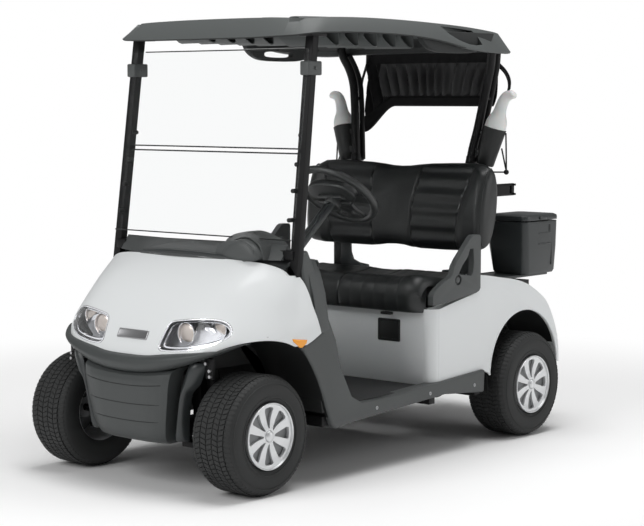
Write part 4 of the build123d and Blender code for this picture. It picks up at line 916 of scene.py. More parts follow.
# ------------------------------------------------------------ roof
# half of the roof's outline, front to back: the fascia's top edge x, y, z and its foot x, y, z
FASCIA = (
    (0.000, -0.690, 1.790, 0.000, -0.742, 1.714),
    (0.230, -0.687, 1.789, 0.240, -0.742, 1.714),
    (0.375, -0.677, 1.786, 0.390, -0.734, 1.717),
    (0.445, -0.652, 1.783, 0.462, -0.716, 1.720),
    (0.476, -0.604, 1.785, 0.505, -0.682, 1.726),
    (0.488, -0.520, 1.791, 0.527, -0.615, 1.732),
    (0.491, -0.300, 1.795, 0.533, -0.370, 1.738),
    (0.491, -0.050, 1.793, 0.534, -0.074, 1.733),
    (0.489, 0.180, 1.787, 0.534, 0.131, 1.716),
    (0.484, 0.350, 1.780, 0.532, 0.296, 1.692),
    (0.478, 0.480, 1.772, 0.530, 0.430, 1.681),
    (0.466, 0.590, 1.764, 0.514, 0.590, 1.676),
    (0.446, 0.650, 1.757, 0.488, 0.674, 1.678),
    (0.395, 0.700, 1.748, 0.435, 0.732, 1.684),
    (0.210, 0.726, 1.740, 0.230, 0.752, 1.689),
    (0.000, 0.732, 1.737, 0.000, 0.757, 1.690),
)


def roof_loop(points):
    """A closed loop from its half with x >= 0, listed from the front's middle to the rear's."""
    half = [Vector(p) for p in points]
    whole = half + [Vector((-p.x, p.y, p.z)) for p in reversed(half[1:-1])]
    return flow(whole, 3, True)


def inset(points, distance, rise, flat=None):
    """The points moved towards the roof's middle and up; flat gives one height for all."""
    middle = Vector((0, 0.02))
    moved = []
    for p in points:
        away = Vector((p[0], p[1])) - middle
        k = max(0.0, 1 - distance / max(abs(away.x) / 0.49, abs(away.y) / 0.71, 0.2) / 0.6)
        moved.append(Vector((p[0] * k, middle.y + away.y * k, p[2] + rise if flat is None else flat)))
    return moved


edge = [row[:3] for row in FASCIA]
foot = [row[3:] for row in FASCIA]
half_loops = [inset(edge, 0.34, 0, 1.803), inset(edge, 0.16, 0.009), inset(edge, 0.03, 0.003), edge, foot,
              [(p[0], p[1], p[2] - 0.005) for p in inset(foot, 0.003, 0)], inset(foot, 0.030, -0.002),
              inset(foot, 0.040, 0.020), inset(foot, 0.16, 0, 1.752), inset(foot, 0.34, 0, 1.762)]
rows = [roof_loop(points) for points in half_loops]
roof = fill(skin("roof_shell", [row + [row[0]] for row in rows]), 0.00005)
# the pocket in each side fascia, deeper towards its rear end, and the rain gutter at each front corner
POCKET = ((0.165, 1.776), (0.205, 1.745), (0.262, 1.722), (0.330, 1.706), (0.400, 1.701), (0.432, 1.706),
          (0.420, 1.738), (0.392, 1.764), (0.300, 1.770))
for side in (-1, 1):
    pocket = plate("pocket", POCKET, "x", 0.500, 0.60)
    for corner in pocket.data.vertices:
        if corner.co.x < 0.55:
            surface = 0.489 + (1.787 - corner.co.z) * 0.55 - max(0.0, corner.co.y - 0.2) * 0.03
            corner.co.x = surface - 0.004 - 0.034 * min(1.0, max(0.0, (corner.co.y - 0.165) / 0.23))
    if side < 0:
        mirror(pocket)
    cut(roof, pocket)
    gutter = plate("gutter", [(side * x, z) for x, z in ((0.392, 1.83), (0.400, 1.790), (0.408, 1.764),
                                                         (0.444, 1.762), (0.462, 1.784), (0.466, 1.83))],
                   "y", -0.80, 0.10)
    for corner in gutter.data.vertices:
        if corner.co.y > 0:
            corner.co.z += 0.045
            corner.co.x += side * 0.012
    cut(roof, gutter)
bevel(roof, 0.0022, 2, 28)
smooth(roof, 30)
fit(roof, "root", ROOF, "roof_black", "roof")
roof.data.materials.append(CEILING)
for face in roof.data.polygons:
    # the lining is what faces down above the fascia's foot
    if face.normal.z < -0.25 and face.center.z > 1.69:
        face.material_index = 1

# shallow ribs pressed into the roof's top
ROOF_RIB = ((-0.030, -0.004), (-0.020, 0.003), (0, 0.0045), (0.020, 0.003), (0.030, -0.004))
ROOF_RIB_LINE = ((-0.46, 1.799), (-0.40, 1.8015), (-0.20, 1.8045), (0.10, 1.8045), (0.30, 1.800),
                 (0.40, 1.793))
for i, x in enumerate((-0.24, -0.08, 0.08, 0.24)):
    rib_rows = [[Vector((x + dx, y, z + dz)) for dx, dz in ROOF_RIB] for y, z in ROOF_RIB_LINE]
    rib = skin("roof_rib_" + str(i + 1), fine(rib_rows, 3, 3))
    outward(rib)
    wall(rib, 0.006, -1)
    fit(smooth(rib, 40), "root", ROOF, "roof_black")

# louvres across the ceiling along each side
LOUVRE_SECTION = ((-0.048, 1.756), (-0.046, 1.724), (0.006, 1.689), (0.034, 1.686), (0.040, 1.700),
                  (0.034, 1.756))
LOUVRE_STATIONS = ((0.210, -0.010), (0.300, 0.0), (0.390, 0.012), (0.425, 0.024))
louvre_rows = [[Vector((x, y + lean, z)) for y, z in LOUVRE_SECTION] for x, lean in LOUVRE_STATIONS]
louvre = skin("louvre", fine(louvre_rows, 2, 2))
outward(louvre)
wall(louvre, 0.004, -1)
smooth(louvre, 40)
LOUVRE_START = -0.465
LOUVRE_PITCH = 0.119
for side, word in SIDES:
    rise = 0 if side > 0 else 0.024
    for i in range(5):
        piece = copy(louvre, "roof_louvre_%s_%d" % (word, i + 1))
        if side < 0:
            mirror(piece)
        piece.data.transform(Matrix.Translation((0, LOUVRE_START + LOUVRE_PITCH * i, rise)))
        fit(piece, "root", ROOF, "roof_black")
bpy.data.objects.remove(louvre)

# moulded grips inside the skirts
GRIP_OUTLINE = curve([(0.020, 1.735), (0.048, 1.690), (0.092, 1.662), (0.160, 1.648), (0.320, 1.646),
                      (0.400, 1.652), (0.470, 1.668), (0.515, 1.690), (0.545, 1.735)], 4)
HAND_HOLE = curve([(0.150, 1.676), (0.166, 1.666), (0.245, 1.663), (0.325, 1.666), (0.341, 1.676),
                   (0.325, 1.687), (0.245, 1.690), (0.166, 1.687)], 3, True)
for side, word in SIDES:
    grip = plate("grip", GRIP_OUTLINE, "x", side * 0.470, side * 0.500)
    if side < 0:
        cut(grip, plate("hand_hole", HAND_HOLE, "x", side * 0.42, side * 0.55))
    else:
        # the driver's grip is a plain ledge behind the skirt
        grip.data.transform(Matrix.Translation((0, 0, 0.022)))
    bevel(grip, 0.006, 3, 40)
    grip.name = "roof_grip_" + word
    fit(smooth(grip), "root", CEILING, "roof_black")

# ------------------------------------------------------------ struts and windscreen
dress("front_struts", STEEL_BLACK, 0.006, 3)
dress("windscreen", SCREEN)
SCREEN_FOOT = Vector((0.490, -0.755, 0.941))
SCREEN_HEAD = Vector((0.474, -0.585, 1.672))


def on_screen(k, z, forward=0.0):
    """A point on the windscreen: k from -1 to 1 across, at height z."""
    t = (z - SCREEN_FOOT.z) / (SCREEN_HEAD.z - SCREEN_FOOT.z)
    p = SCREEN_FOOT + (SCREEN_HEAD - SCREEN_FOOT) * t
    return (k * p.x, p.y - forward, p.z)


for name, z, radius in (("screen_head_trim", 1.671, 0.0024), ("screen_upper_foot_trim", 1.288, 0.0030),
                        ("screen_lower_head_trim", 1.270, 0.0028), ("screen_foot_trim", 0.944, 0.0026)):
    trim = rod(name, on_screen(-0.985, z), on_screen(0.985, z), radius, 16)
    fit(smooth(trim), "root", BLACK, "black_plastic")
for side, word in SIDES:
    for i, z in enumerate((1.02, 1.13, 1.23, 1.34)):
        clip = rod("screen_clip", on_screen(side * 0.955, z, 0.014), on_screen(side * 0.955, z, -0.016),
                   0.0085, 20)
        bevel(clip, 0.002, 2)
        clip.name = "screen_clip_%s_%d" % (word, i + 1)
        fit(smooth(clip), "root", BLACK, "black_plastic")
    clamp = block("strut_clamp_" + word, (side * 0.452, -0.668, 1.568), (side * 0.498, -0.588, 1.622),
                  0.006, 3)
    bolt = rod("clamp_bolt", (side * 0.446, -0.628, 1.595), (side * 0.504, -0.628, 1.595), 0.007, 6)
    clamp = smooth(join("strut_clamp_" + word, [clamp, bolt]))
    fit(clamp, "root", GREY, "frame_black")
    foot_clamp = block("strut_foot_clamp_" + word, (side * 0.432, -0.748, 0.866),
                       (side * 0.486, -0.716, 0.904), 0.006, 3)
    fit(smooth(foot_clamp), "root", STEEL_BLACK, "frame_black")
    # folded plate at the strut's head
    head = block("strut_head_plate_" + word, (side * 0.430, -0.650, 1.716), (side * 0.500, -0.560, 1.736),
                 0.005, 2)
    fit(smooth(head), "root", STEEL_BLACK, "frame_black")

# ------------------------------------------------------------ sills
SILL_OUTLINE = (
    (-0.715, 0.775), (-0.704, 0.699), (-0.686, 0.642), (-0.659, 0.590), (-0.784, 0.544), (-0.767, 0.530),
    (-0.722, 0.470), (-0.686, 0.414), (-0.656, 0.350), (-0.633, 0.291), (-0.604, 0.226), (-0.576, 0.205),
    (-0.543, 0.213), (-0.205, 0.235), (0.131, 0.254), (0.404, 0.230), (0.410, 0.328), (0.034, 0.306),
    (-0.300, 0.290), (-0.420, 0.292), (-0.480, 0.322), (-0.540, 0.430), (-0.588, 0.560), (-0.612, 0.660),
    (-0.628, 0.760), (-0.650, 0.840), (-0.672, 0.905), (-0.716, 0.880), (-0.722, 0.820),
)
for side, word in SIDES:
    sill = plate("sill_%s_dressed" % word, SILL_OUTLINE, "x", side * 0.452, side * 0.562)
    for corner in sill.data.vertices:
        # the upper part leans in with the bonnet's side
        lean = max(0.0, corner.co.z - 0.58) * 0.20
        if abs(corner.co.x) > 0.5:
            corner.co.x -= side * lean
        else:
            corner.co.x += side * max(0.0, 0.040 - lean * 0.5)
    bevel(sill, 0.010, 4, 30)
    smooth(sill, 30)
    fit(sill, "root", GREY, "trim_grey", "sill_" + word)
    for y, z in ((-0.600, 0.545), (0.020, 0.272), (0.330, 0.270), (-0.330, 0.258)):
        head = rod("sill_screw", (side * 0.556, y, z), (side * 0.5645, y, z), 0.0075, 24)
        bevel(head, 0.0015, 2)
        cut(head, rod("screw_socket", (side * 0.560, y, z), (side * 0.570, y, z), 0.0035, 6))
        fit(smooth(head), "root", STEEL, "steel").name = "sill_screw_%s_%d" % (word, int(1000 * y) + 1000)

dress("floor_pan", BLACK, 0.004)
dress("floor_mat", MAT, 0.002)
dress("pedals", STEEL_BLACK, 0.003)

# ------------------------------------------------------------ rear body
BODY_HALF = 0.545
ARCH_CENTRE = (0.727, 0.298)
ARCH_RADIUS = 0.257


def arc(centre, radius, start, end, steps):
    """Points on a circle between two angles in degrees."""
    return [(centre[0] + radius * math.cos(math.radians(start + (end - start) * i / steps)),
             centre[1] + radius * math.sin(math.radians(start + (end - start) * i / steps)))
            for i in range(steps + 1)]


FENDER_TOP = curve([(0.352, 0.737), (0.430, 0.729), (0.514, 0.716), (0.600, 0.703), (0.665, 0.692),
                    (0.730, 0.674), (0.783, 0.652), (0.850, 0.615), (0.903, 0.575), (0.954, 0.499),
                    (0.988, 0.418), (1.000, 0.350), (1.002, 0.298)], 3)
arch = arc(ARCH_CENTRE, ARCH_RADIUS, 0, 180, 40)
body_outline = FENDER_TOP + [(0.984, 0.298)] + arch[1:-1] + [(0.470, 0.298), (0.430, 0.318), (0.300, 0.306),
                                                             (0.057, 0.293), (0.055, 0.420), (0.056, 0.603),
                                                             (0.120, 0.615), (0.250, 0.640), (0.340, 0.655),
                                                             (0.350, 0.700)]
body = plate("rear_body_shell", body_outline, "x", -BODY_HALF, BODY_HALF)
# the inside is cut out, the front stays as the seat base's front wall
inside = plate("inside", [(0.062, 0.250), (0.062, 0.596), (0.250, 0.632), (0.340, 0.646), (0.358, 0.700),
                          (0.514, 0.700), (0.665, 0.676), (0.783, 0.636), (0.895, 0.565), (0.940, 0.499),
                          (0.974, 0.418), (0.992, 0.250)], "x", -BODY_HALF + 0.012, BODY_HALF - 0.012)
cut(body, inside)
well_gap = block("well_gap", (-0.284, 0.572, 0.30), (0.284, 1.2, 0.90), 0.02, 3)
cut(body, well_gap)
seat_gap = block("seat_gap", (-0.496, 0.105, 0.55), (0.496, 0.575, 0.80), 0.03, 3)
cut(body, seat_gap)
# rounded corners: at the front, upright; at the fender's top and tail, all along
CORNER_X = 0.495
CORNER_Y = 0.105
CORNER_RADIUS = 0.0495
for side in (-1, 1):
    tool = block("corner_tool", (side * CORNER_X, 0.0, 0.2), (side * 0.60, 0.100, 0.8))
    cut(tool, rod("corner_round", (side * CORNER_X, CORNER_Y, 0.1), (side * CORNER_X, CORNER_Y, 0.9),
                  CORNER_RADIUS, 64))
    cut(body, tool)
bevel(body, 0.007, 4, 34)
smooth(body, 34)
fit(body, "root", WHITE, "body_white", "rear_body")

# front corner's rounded skin behind the cut, lip round the arch and the dark liner inside it
for side, word in SIDES:
    bend = [(side * (CORNER_X + CORNER_RADIUS * math.sin(math.radians(a))),
             CORNER_Y - CORNER_RADIUS * math.cos(math.radians(a))) for a in range(0, 91, 9)]
    corner_rows = [[Vector((x, y, z)) for x, y in bend] for z in (0.293, 0.45, 0.60, 0.612)]
    corner_skin = skin("seat_base_corner_" + word, corner_rows)
    outward(corner_skin)
    wall(corner_skin, 0.004, -1)
    fit(smooth(corner_skin, 40), "root", WHITE, "body_white")
    lip_line = [(0.468, 0.300)] + arc(ARCH_CENTRE, ARCH_RADIUS + 0.004, 180, 0, 24)
    lip = pipe("arch_lip_" + word, [(side * (BODY_HALF - 0.003), y, z) for y, z in lip_line], 0.0055)
    fit(lip, "root", WHITE, "body_white")
    tunnel = arc(ARCH_CENTRE, ARCH_RADIUS + 0.010, 196, -20, 28)
    rows = [[Vector((side * x, y, z)) for y, z in tunnel] for x in (0.300, 0.42, 0.534)]
    liner = skin("rear_liner_" + word, rows)
    outward(liner)
    wall(liner, 0.003, 0)
    fit(smooth(liner, 40), "root", BLACK, "black_plastic")
    flap = block("mud_flap_" + word, (side * 0.400, 0.992, 0.235), (side * 0.532, 1.000, 0.330), 0.003, 2)
    fit(smooth(flap), "root", BLACK, "black_plastic")

# charge port on the seat base's front, with its small tab
port = block("charge_port_dressed", (0.259, 0.048, 0.466), (0.376, 0.062, 0.560), 0.006, 3)
cut(port, block("port_recess", (0.269, 0.040, 0.476), (0.366, 0.0505, 0.550), 0.003, 2))
port_face = block("port_flap", (0.272, 0.0495, 0.479), (0.363, 0.0535, 0.547), 0.0015, 2)
port = join("charge_port_dressed", [port, port_face])
fit(smooth(port), "root", BLACK, "black_plastic", "charge_port")

# ------------------------------------------------------------ seats
SEAT_HALF = 0.502
# the cushion's upholstery from the front's foot over the top to the rear: (y, z)
SEAT_LINE = ((0.018, 0.598), (0.004, 0.608), (-0.004, 0.640), (-0.002, 0.680), (0.012, 0.715),
             (0.044, 0.736), (0.095, 0.740), (0.160, 0.729), (0.250, 0.718), (0.340, 0.714), (0.410, 0.722),
             (0.446, 0.728), (0.468, 0.716), (0.474, 0.670), (0.466, 0.604))
STITCH = 0.008
INNER_SEAM = 0.085
OUTER_SEAM = 0.400
CHANNEL_WIDTH = 0.063
END_ROUND = 0.065


def ramp(value, low, high):
    """0 below low, 1 above high and smooth between."""
    t = min(1.0, max(0.0, (value - low) / (high - low)))
    return t * t * (3 - 2 * t)


def groove(distance, width):
    """1 on a seam and 0 from its width away."""
    return max(0.0, 1 - abs(distance) / width) ** 2


def close_ends(piece):
    """Fill the open ends of a skin and turn its faces outwards."""
    edit(piece)
    bpy.ops.mesh.select_mode(type="EDGE")
    bpy.ops.mesh.select_all(action="DESELECT")
    bpy.ops.mesh.select_non_manifold()
    bpy.ops.mesh.edge_face_add()
    bpy.ops.mesh.select_all(action="SELECT")
    bpy.ops.mesh.normals_make_consistent(inside=False)
    done()
    return piece


def resample(points, pitch):
    """Points at an even pitch along a line."""
    result = [points[0].copy()]
    left = pitch
    for a, b in zip(points, points[1:]):
        length = (b - a).length
        while length > left:
            a = a + (b - a) * (left / length)
            result.append(a.copy())
            length -= left
            left = pitch
        left -= length
    return result


seat_rows = []
for point in resample(flow([(y, z, 0) for y, z in SEAT_LINE], 6), 0.007):
    y, z = point.x, point.y
    top = ramp(z, 0.66, 0.71)
    front = ramp(-y, -0.030, -0.008)
    row = []
    for i in range(201):
        x = SEAT_HALF * (i - 100) / 100
        a = abs(x)
        bolster = 0.012 * ramp(a, 0.360, 0.440) - 0.006 * (1 - ramp(a, 0.02, 0.12))
        seams = groove(a - OUTER_SEAM, STITCH) * 0.8 + groove(a - INNER_SEAM, STITCH) * 0.8
        channelled = INNER_SEAM < a < OUTER_SEAM
        across = 0.0
        if channelled:
            k = ((a - INNER_SEAM) / CHANNEL_WIDTH) % 1.0
            across = 1 - abs(2 * k - 1) ** 3
        rear_drop = 0.050 * ramp(a, 0.37, 0.50) * ramp(y, 0.22, 0.44)
        dz = top * (bolster * ramp(y, -0.02, 0.06) - rear_drop - 0.004 * seams
                    + 0.0010 * (across - 1) * channelled)
        dy = front * (0.003 * seams - 0.0018 * (across - 0.5) * channelled)
        # the outer ends are rounded
        t = max(0.0, (a - 0.437) / END_ROUND)
        pull = END_ROUND * (1 - math.sqrt(max(0.0, 1 - t * t)))
        row.append(Vector((x, y + dy + pull * (1 if y < 0.24 else -0.6) * (1 - top * 0.6),
                           z + dz - pull * 0.7 * top)))
    seat_rows.append(row)
seat = smooth(close_ends(skin("seat_cushion", seat_rows)), 50)
fit(seat, "seat_bottom", VINYL, "seat_vinyl", "seat_bottom")

for side, word in SIDES:
    tab = block("seat_tab", (side * 0.305, 0.010, 0.582), (side * 0.356, 0.034, 0.594), 0.003, 2)
    fit(smooth(tab), "seat_bottom", BLACK, "black_plastic").name = "seat_tab_" + word

# the back rest: a section for every station across, with its own top and foot
BACK_HALF = 0.500
BACK_MIDDLE = 0.525
BACK_ROUND = 0.030
RIB_FOOT = 0.830
RIB_PITCH = 0.0655
TOP_LINE = ((0.0, 1.180), (0.05, 1.182), (0.10, 1.188), (0.17, 1.194), (0.28, 1.198), (0.38, 1.200),
            (0.44, 1.196), (0.48, 1.180), (0.50, 1.168))
FOOT_LINE = ((0.0, 0.832), (0.05, 0.830), (0.09, 0.824), (0.14, 0.819), (0.28, 0.819), (0.40, 0.822),
             (0.46, 0.828), (0.50, 0.836))


def level(line, a):
    """The height on a line of (distance from the middle, height)."""
    for (x0, z0), (x1, z1) in zip(line, line[1:]):
        if a <= x1:
            return z0 + (z1 - z0) * (a - x0) / (x1 - x0)
    return line[-1][1]


def back_section(top, foot):
    return curve([(0.500, foot), (0.476, foot + 0.012), (0.462, foot + 0.045), (0.458, 0.930),
                 (0.463, 1.000), (0.473, 1.060), (0.489, 1.115), (0.509, top - 0.028),
                 (0.530, top - 0.006), (0.552, top), (0.573, top - 0.012), (0.588, top - 0.050),
                 (0.593, 1.085), (0.590, 1.020), (0.577, 0.950), (0.552, 0.885), (0.525, foot + 0.012)],
                20, True)


def inner_seam(z):
    return 0.108 + 0.028 * ramp(z, 0.95, 1.19)


def outer_seam(z):
    return 0.357 + 0.056 * ramp(z, 0.90, 1.19)


back_rows = []
for i in range(201):
    x = BACK_HALF * (i - 100) / 100
    a = abs(x)
    top = level(TOP_LINE, a)
    foot = level(FOOT_LINE, a)
    section = back_section(top, foot)[::2]
    t = max(0.0, (a - 0.470) / BACK_ROUND)
    pull = BACK_ROUND * (1 - math.sqrt(max(0.0, 1 - t * t)))
    middle_z = (top + foot) / 2
    row = []
    for y, z in section:
        front = ramp(0.535 - y, 0.0, 0.03)
        near = outer_seam(z)
        far = inner_seam(z)
        seams = groove(a - near, 0.007) + groove(a - far, 0.007)
        dy = 0.008 * seams
        if far < a < near:
            rib = 0.5 - 0.5 * math.cos(2 * math.pi * (z - RIB_FOOT) / RIB_PITCH)
            dy += 0.0085 - 0.0070 * rib
        elif a <= far:
            dy += 0.007 * (1 - ramp(a, 0.0, far))
        else:
            dy -= 0.012 * ramp(a, near, near + 0.05) * (1 - ramp(a, 0.46, 0.50))
        y += dy * front
        y = BACK_MIDDLE + (y - BACK_MIDDLE) * (1 - pull / 0.075)
        z = middle_z + (z - middle_z) * (1 - pull / 0.180)
        row.append(Vector((x, y, z)))
    row.append(row[0].copy())
    back_rows.append(row)
back = smooth(close_ends(merge(skin("seat_back_rest", back_rows), 0.00005)), 50)
fit(back, "root", VINYL, "seat_vinyl", "seat_back")
for side, word in SIDES:
    seam = back_section(1.182, 0.834)[8:180:12]
    bead = pipe("seat_piping_" + word, [(side * 0.489, BACK_MIDDLE + (y - BACK_MIDDLE) * 0.90,
                                         1.008 + (z - 1.008) * 0.972) for y, z in seam], 0.0032)
    fit(bead, "root", VINYL, "seat_vinyl")

# hip restraints and the posts that carry the back
HIP_PLATE = [(0.0500, 0.632), (0.0500, 0.668), (0.060, 0.684), (0.090, 0.703), (0.133, 0.7255),
             (0.172, 0.739), (0.186, 0.752), (0.199, 0.785), (0.222, 0.812), (0.268, 0.854), (0.318, 0.900),
             (0.334, 0.907), (0.376, 0.906), (0.382, 0.897), (0.383, 0.680), (0.374, 0.668), (0.350, 0.660),
             (0.196, 0.641), (0.070, 0.630)]
HIP_OPENING = [(0.306, 0.850), (0.330, 0.850), (0.334, 0.790), (0.328, 0.748), (0.314, 0.736),
               (0.276, 0.742), (0.226, 0.748), (0.250, 0.782), (0.290, 0.818)]
HIP_KNOB = (0.2245, 0.7242)
POST_FOOT = ((0.205, 0.694), (0.212, 0.722), (0.264, 0.728), (0.300, 0.742), (0.314, 0.775), (0.317, 0.880),
             (0.378, 0.880), (0.378, 0.694))
for side, word in SIDES:
    plate_piece = plate("hip_restraint_" + word, HIP_PLATE, "x", side * 0.524, side * 0.552)
    cut(plate_piece, plate("hip_opening", HIP_OPENING, "x", side * 0.45, side * 0.60))
    cut(plate_piece, rod("knob_recess", (side * 0.541, *HIP_KNOB), (side * 0.60, *HIP_KNOB), 0.022, 40))
    bevel(plate_piece, 0.005, 3, 30)
    knob = rod("hip_knob", (side * 0.530, *HIP_KNOB), (side * 0.550, *HIP_KNOB), 0.0145, 40)
    bevel(knob, 0.003, 3)
    brace = block("hip_brace", (side * 0.528, 0.345, 0.690), (side * 0.549, 0.384, 0.900), 0.004, 3)
    piece = smooth(join("hip_restraint_" + word, [plate_piece, knob, brace]))
    fit(piece, "root", GREY, "trim_grey", *stand_in(side, "seat_supports"))
    # the plate under the back rest, with a foot that spreads towards the middle
    post = block("back_post", (side * 0.372, 0.560, 0.690), (side * 0.4145, 0.580, 0.880), 0.005, 3)
    fit(smooth(post), "root", BLACK, "black_plastic").name = "back_post_" + word
    foot = plate("post_foot_" + word, [(side * x, z) for x, z in POST_FOOT], "y", 0.562, 0.576, 0.004, 3)
    fit(smooth(foot), "root", BLACK_SATIN, "black_plastic")
seat_bar = block("back_crossbar", (-0.385, 0.580, 1.040), (0.385, 0.594, 1.088), 0.006, 2)
fit(smooth(seat_bar), "root", BLACK, "black_plastic")

# ------------------------------------------------------------ rear struts, rack and bottles
STRUT_COURSE = ((0.362, 0.600, 0.690), (0.362, 0.601, 0.860), (0.340, 0.606, 1.020), (0.326, 0.616, 1.200),
                (0.350, 0.640, 1.360), (0.368, 0.656, 1.480), (0.382, 0.662, 1.555), (0.400, 0.656, 1.615),
                (0.422, 0.634, 1.680), (0.431, 0.628, 1.735))
BRACE_OFFSET = 0.050
for side, word in SIDES:
    course = [(side * x, y, z) for x, y, z in STRUT_COURSE]
    strut = pipe("rear_strut_" + word, course, 0.0190)
    rear_course = [(x, y + BRACE_OFFSET, z) for x, y, z in course[3:-1]]
    brace = pipe("strut_brace", rear_course, 0.0125)
    ties = [rod("strut_tie", course[i], (course[i][0], course[i][1] + BRACE_OFFSET, course[i][2]), 0.008)
            for i in (3, 5, 8)]
    foot_plate = block("strut_foot", (side * 0.330, 0.574, 0.690), (side * 0.394, 0.636, 0.708), 0.004, 2)
    collar = rod("strut_collar", (side * 0.325, 0.615, 1.186), (side * 0.330, 0.620, 1.226), 0.0235, 32)
    bevel(collar, 0.003, 2)
    piece = join("rear_strut_" + word, [strut, brace, foot_plate, collar] + ties)
    smooth(piece, 40)
    fit(piece, "root", STEEL_BLACK, "frame_black", *stand_in(side, "rear_struts"))
# bag rack: a flat bar each side with a slotted end, and a cross bar
for side, word in SIDES:
    bar = block("rack_bar", (side * 0.276, 0.618, 1.038), (side * 0.290, 1.010, 1.094), 0.003, 2)
    cut(bar, block("rack_slot", (0.20 * side, 0.972, 1.048), (0.40 * side, 0.988, 1.084), 0.004, 2))
    clip = block("rack_clip", (side * 0.284, 0.606, 1.040), (side * 0.302, 0.646, 1.092), 0.003, 2)
    pins = [rod("rack_pin", (side * 0.270, 1.003, z), (side * 0.300, 1.003, z), 0.0050, 16)
            for z in (1.045, 1.088)]
    pins += [rod("rack_tip", (side * 0.283, 1.006, z), (side * 0.283, 1.022, z), 0.0032, 12)
             for z in (1.045, 1.088)]
    piece = smooth(join("bag_rack_" + word, [bar, clip] + pins), 40)
    fit(piece, "root", STEEL_BLACK, "frame_black", *stand_in(side, "bag_rack"))
cross = rod("rack_cross_bar", (-0.280, 0.880, 1.065), (0.280, 0.880, 1.065), 0.014, 32)
fit(smooth(cross), "root", STEEL_BLACK, "frame_black")

BOTTLE_FOOT = Vector((0.386, 0.638, 1.190))
BOTTLE_TOP = Vector((0.429, 0.655, 1.352))


def turned(name, section):
    """A round piece about Z from (radius, height) points."""
    piece = ring(name, [(z, r) for r, z in section], steps=48)
    piece.data.transform(Matrix.Rotation(math.radians(-90), 4, "Y"))
    return piece


SLEEVE = ((0.0, 0.0), (0.036, 0.0), (0.040, 0.005), (0.0455, 0.090), (0.0505, 0.160), (0.0515, 0.166),
          (0.0485, 0.168), (0.0470, 0.158), (0.0, 0.150))
BOTTLE = ((0.0, 0.152), (0.0465, 0.152), (0.0480, 0.172), (0.0465, 0.192), (0.0430, 0.206), (0.0370, 0.220),
          (0.0310, 0.232), (0.0275, 0.246), (0.0265, 0.256), (0.0, 0.258))
for side, word in SIDES:
    foot_at = Vector((side * BOTTLE_FOOT.x, BOTTLE_FOOT.y, BOTTLE_FOOT.z))
    top_at = Vector((side * BOTTLE_TOP.x, BOTTLE_TOP.y, BOTTLE_TOP.z))
    upright = (top_at - foot_at).normalized()
    forth = upright.cross(Vector((side, 0, 0))).normalized()
    axes = Matrix((forth.cross(upright), forth, upright)).transposed().to_4x4()
    stand = Matrix.Translation(foot_at) @ axes
    sleeve = turned("bottle_sleeve", SLEEVE)
    sleeve.data.transform(stand)
    clip = block("sleeve_clip", (side * 0.330, 0.618, 1.232), (side * 0.380, 0.652, 1.262), 0.004, 2)
    top_clip = block("sleeve_clip_top", (side * 0.346, 0.632, 1.318), (side * 0.396, 0.664, 1.340), 0.004,
                     2)
    sleeve = join("bottle_sleeve_" + word, [sleeve, clip, top_clip])
    smooth(sleeve, 40)
    fit(sleeve, "root", BLACK, "black_plastic", *stand_in(side, "bottle_holders"))
    bottle = turned("sand_bottle", BOTTLE)
    # the spout rises from the neck and curves outwards
    spout_rows = []
    for x, z, radius in ((0.000, 0.250, 0.0268), (0.001, 0.272, 0.0255), (0.004, 0.292, 0.0245),
                         (0.010, 0.308, 0.0240), (0.020, 0.320, 0.0230), (0.034, 0.328, 0.0210),
                         (0.046, 0.332, 0.0180), (0.052, 0.333, 0.0120), (0.053, 0.333, 0.002)):
        lean = min(1.2, max(0.0, (z - 0.290) / 0.045))
        row = []
        for i in range(25):
            a = 2 * math.pi * i / 24
            row.append(Vector((x + radius * math.cos(a) * math.cos(lean), radius * math.sin(a),
                               z - radius * math.cos(a) * math.sin(lean))))
        spout_rows.append(row)
    spout = close_ends(merge(skin("spout", fine(spout_rows, 2, 3)), 0.0003))
    bottle = join("sand_bottle_" + word, [bottle, spout])
    bottle.data.transform(stand)
    smooth(bottle, 50)
    fit(bottle, "root", BOTTLE_WHITE, "bottle_white", *stand_in(side, "sand_bottles"))
    # the thin stay with its knob
    stay = [pipe("stay", [(side * x, y, z) for x, y, z in path], 0.0035, straight=True)
            for path in (((0.477, 0.668, 1.330), (0.481, 0.666, 1.245), (0.484, 0.664, 1.162)),
                         ((0.450, 0.676, 1.262), (0.484, 0.664, 1.162)),
                         ((0.350, 0.622, 1.158), (0.484, 0.664, 1.160)))]
    stay.append(ball("stay_knob", (side * 0.484, 0.664, 1.160), (0.0115, 0.0115, 0.0115), 24, 12))
    fit(smooth(join("bottle_stay_" + word, stay), 50), "root", STEEL_BLACK, "frame_black")

# ------------------------------------------------------------ cooler
COOLER_BODY = ((0.702, 0.330, 0.509, 0.783, 1.016), (0.714, 0.324, 0.514, 0.778, 1.022),
               (0.820, 0.308, 0.518, 0.771, 1.029), (0.925, 0.300, 0.520, 0.766, 1.031),
               (0.935, 0.300, 0.520, 0.766, 1.031))


def rounded_loop(x0, x1, y0, y1, z, radius=0.030):
    """A level rectangle with rounded corners, closed by its first point."""
    points = []
    for cx, cy, start in ((x1 - radius, y1 - radius, 0), (x0 + radius, y1 - radius, 90),
                          (x0 + radius, y0 + radius, 180), (x1 - radius, y0 + radius, 270)):
        points += [Vector((x, y, z)) for x, y in arc((cx, cy), radius, start, start + 90, 8)]
    return points + [points[0].copy()]


